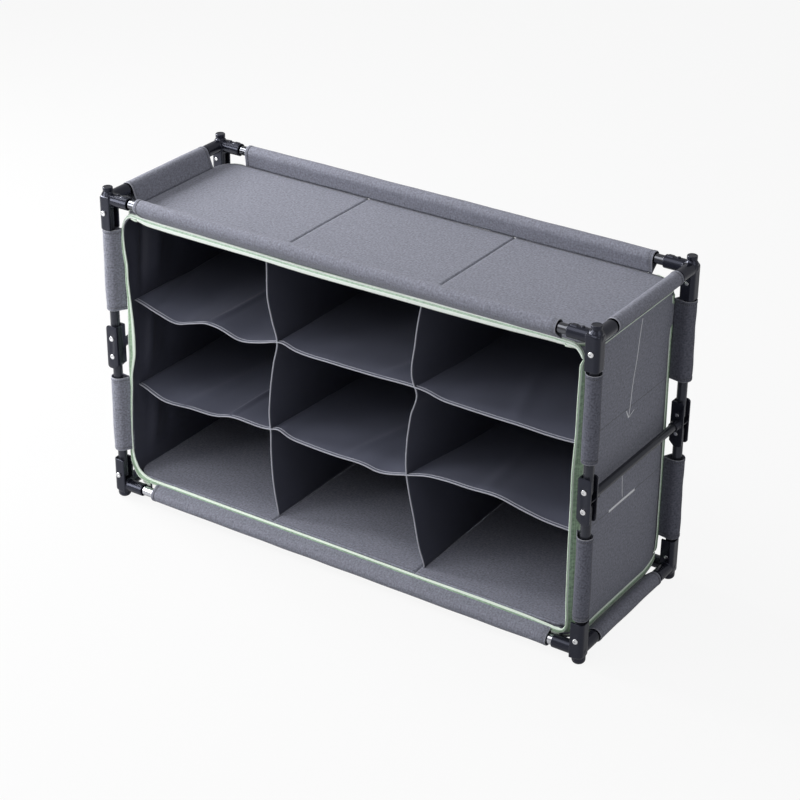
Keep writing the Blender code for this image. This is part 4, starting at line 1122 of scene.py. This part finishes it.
def screw(halfWidth, headHeight):
    # a pan head with a hexagon socket, its pin, and the riveted end
    look = screwLook
    top = -halfWidth - headHeight
    head = rodAlong("y", look["headR"], top, -halfWidth - 0.0003, sides=40)
    rounded(head, headHeight * look["headRound"], lambda m, d: m.y < top + 1e-5, 4)
    socket = rodAlong("y", look["socketR"], -0.03, -halfWidth - headHeight * look["socketDeep"], sides=6)
    worked(head, "DIFFERENCE", socket)
    pin = rodAlong("y", look["pinR"], -halfWidth - 0.0002, halfWidth + 0.0004, sides=20)
    end = rodAlong("y", look["endR"], halfWidth + 0.0003, halfWidth + look["endProud"], sides=24)
    rounded(end, look["endRound"], lambda m, d: m.y > halfWidth + look["endProud"] - hair, 2)
    return smoothShaded(worked(head, "UNION", pin, end), 30)


def tubePiece(axis, radius, low, high, endRound):
    shape = rodAlong(axis, radius, low, high, sides=56)
    k = "xyz".index(axis)
    rounded(shape, endRound, lambda m, d: abs(d[k]) < 0.1, 5)
    return smoothShaded(shape, 30)


tubeLook = {"railRound": 0.0006, "postRound": 0.0040, "longHalf": 0.4295, "shortHalf": 0.1302,
            "postZ": (-0.0079, 0.2314), "barR": 0.0065, "barHalf": 0.1325}
footConnector = connector(False)
studConnector = connector(True)
sideBracket = bracket()
legScrew = screw(connectorLook["legY"], 0.0030)
bracketScrew = screw(bracketLook["y"], 0.0016)
longRail = tubePiece("x", rig["tubeR"], -tubeLook["longHalf"], tubeLook["longHalf"], tubeLook["railRound"])
shortRail = tubePiece("y", rig["tubeR"], -tubeLook["shortHalf"], tubeLook["shortHalf"], tubeLook["railRound"])
halfPost = tubePiece("z", rig["tubeR"], *tubeLook["postZ"], tubeLook["postRound"])
crossBar = tubePiece("y", tubeLook["barR"], -tubeLook["barHalf"], tubeLook["barHalf"], tubeLook["railRound"])
print("hard parts modelled")

asMade = (1, 1, 1)
railsZ = rig["railsZ"]
# the top rails take the dark copy: painted reflection
railTubes = {"bottom": brightTube, "top": darkReflectionTube}
for side, sx in (("left", -1), ("right", 1)):
    bar = f"{side}_bar"
    for end, sy in (("front", -1), ("back", 1)):
        x = sx * rig["postX"]
        y = sy * rig["postY"]
        for mesh, label, stands, z, up, body in (
                (footConnector, "connector_bottom", "corner_bottom", railsZ["bottom"], 1, "bottom_frame"),
                (studConnector, "connector_top", "corner_top", railsZ["top"], -1, "top_frame"),
                (sideBracket, "fork", "bracket", rig["bracketZ"], 1, bar)):
            copyTo(mesh, f"{label}_{end}_{side}", (-sx, -sy, up), (x, y, z), body, blackPlastic,
                   "black_plastic", f"{stands}_{end}_{side}")
        for mesh, label, z, body in ((legScrew, "pivot_screw_bottom", pivots[0], "bottom_frame"),
                                     (bracketScrew, "bracket_screw_lower", pivots[1], bar),
                                     (bracketScrew, "bracket_screw_upper", pivots[2], bar),
                                     (legScrew, "pivot_screw_top", pivots[3], "top_frame")):
            copyTo(mesh, f"{label}_{end}_{side}_head", (1, -sy, 1), (x, y, z), body, zincScrew, "screw_steel",
                   f"{label}_{end}_{side}")
        for part, z in (("lower", pivots[0]), ("upper", pivots[2])):
            copyTo(halfPost, f"tube_{part}_{end}_{side}", asMade, (x, y, z), f"{side}_{part}_posts", darkTube,
                   "dark_tube", f"post_{part}_{end}_{side}")
    copyTo(crossBar, f"bar_{side}", asMade, (sx * rig["postX"], 0, rig["bracketZ"]), bar, darkTube,
           "dark_tube", f"cross_bar_{side}")
    for level, z in railsZ.items():
        copyTo(shortRail, f"tube_{level}_{side}", asMade, (sx * rig["postX"], 0, z), f"{level}_frame",
               railTubes[level], "bright_tube", f"rail_{level}_{side}")
for end, sy in (("front", -1), ("back", 1)):
    for level, z in railsZ.items():
        copyTo(longRail, f"tube_{level}_{end}", asMade, (0, sy * rig["postY"], z), f"{level}_frame",
               railTubes[level], "bright_tube", f"rail_{level}_{end}")
for shape in (footConnector, studConnector, sideBracket, legScrew, bracketScrew, longRail, shortRail,
              halfPost, crossBar):
    bpy.data.objects.remove(shape)
print("hard parts placed")

# Floor, backdrop, light and camera. Each lamp: its watts, its size and its place
studio = {"floorSize": 14, "sky": 0.36, "skyInMetal": 0.12, "ground": (0.50, 0.50, 0.50, 1),
          "groundGlow": 0.90, "groundInMetal": 0.25, "white": (1, 1, 1, 1), "aim": (0, 0, 0.28),
          "lamps": {"left_window": (88.0, 1.2, (-2.2, -0.1, 1.6)),
                    "left_front": (22.0, 1.0, (-1.6, -1.6, 1.0)),
                    "overhead": (26.0, 2.0, (-0.3, -1.7, 2.6)),
                    "right_fill": (8.0, 1.5, (2.5, -0.6, 1.5))}}


def seenWhite(start, inMetal):
    # 1 for the eye and through clear things, less in reflections, 0 where it would light the object
    eye, glossy, through = (start.add("ShaderNodeLightPath", None, None, out) for out in (0, 3, 6))
    return start.maths("MAXIMUM", eye, start.maths("MAXIMUM", glossy * inMetal, through))


bpy.ops.object.select_all(action="DESELECT")
bpy.ops.mesh.primitive_plane_add(size=studio["floorSize"], location=(0, 0, 0))
ground = bpy.context.object
ground.name = "studio_floor"
made, shader, start = newMaterial("studio_white", {"Base Color": studio["ground"], "Roughness": 0.9,
                                                   "Specular IOR Level": 0.1})
glow = start.add("ShaderNodeEmission", None, {"Color": studio["white"], "Strength": 1.0})
factor = seenWhite(start, studio["groundInMetal"]) * studio["groundGlow"]
mixed = start.add("ShaderNodeMixShader", None, {0: factor, 1: Wire(start.tree, shader.outputs[0]), 2: glow})
start.tree.links.new(mixed.socket, start.tree.nodes["Material Output"].inputs["Surface"])
ground.data.materials.append(made)

world = bpy.data.worlds.new("studio")
bpy.context.scene.world = world
world.use_nodes = True
sky = Wire(world.node_tree)
background = world.node_tree.nodes["Background"]
strength = seenWhite(sky, studio["skyInMetal"]) * (1 - studio["sky"]) + studio["sky"]
world.node_tree.links.new(strength.socket, background.inputs["Strength"])
background.inputs["Color"].default_value = studio["white"]

for name, (power, size, place) in studio["lamps"].items():
    lamp = bpy.data.lights.new(name, "AREA")
    lamp.energy = power
    lamp.size = size
    holder = bpy.data.objects.new(name, lamp)
    bpy.context.scene.collection.objects.link(holder)
    holder.location = place
    holder.rotation_euler = (Vector(studio["aim"]) - Vector(place)).to_track_quat("-Z", "Y").to_euler()

# the camera fitted to the frame's corners: millimetres for the lens, degrees for the turn
cameraLook = {"lens": 98.1484, "sensor": 36, "place": (1.7295711, -2.5818595, 1.8767792),
              "turn": (62.402545, -0.495007, 33.755908)}
eye = bpy.data.cameras.new("photo_camera")
eye.lens = cameraLook["lens"]
eye.sensor_width = cameraLook["sensor"]
camera = bpy.data.objects.new("photo_camera", eye)
bpy.context.scene.collection.objects.link(camera)
camera.location = cameraLook["place"]
camera.rotation_euler = [math.radians(angle) for angle in cameraLook["turn"]]
bpy.context.scene.camera = camera
bpy.context.scene.view_settings.view_transform = "Standard"
print("floor, lights and camera set")
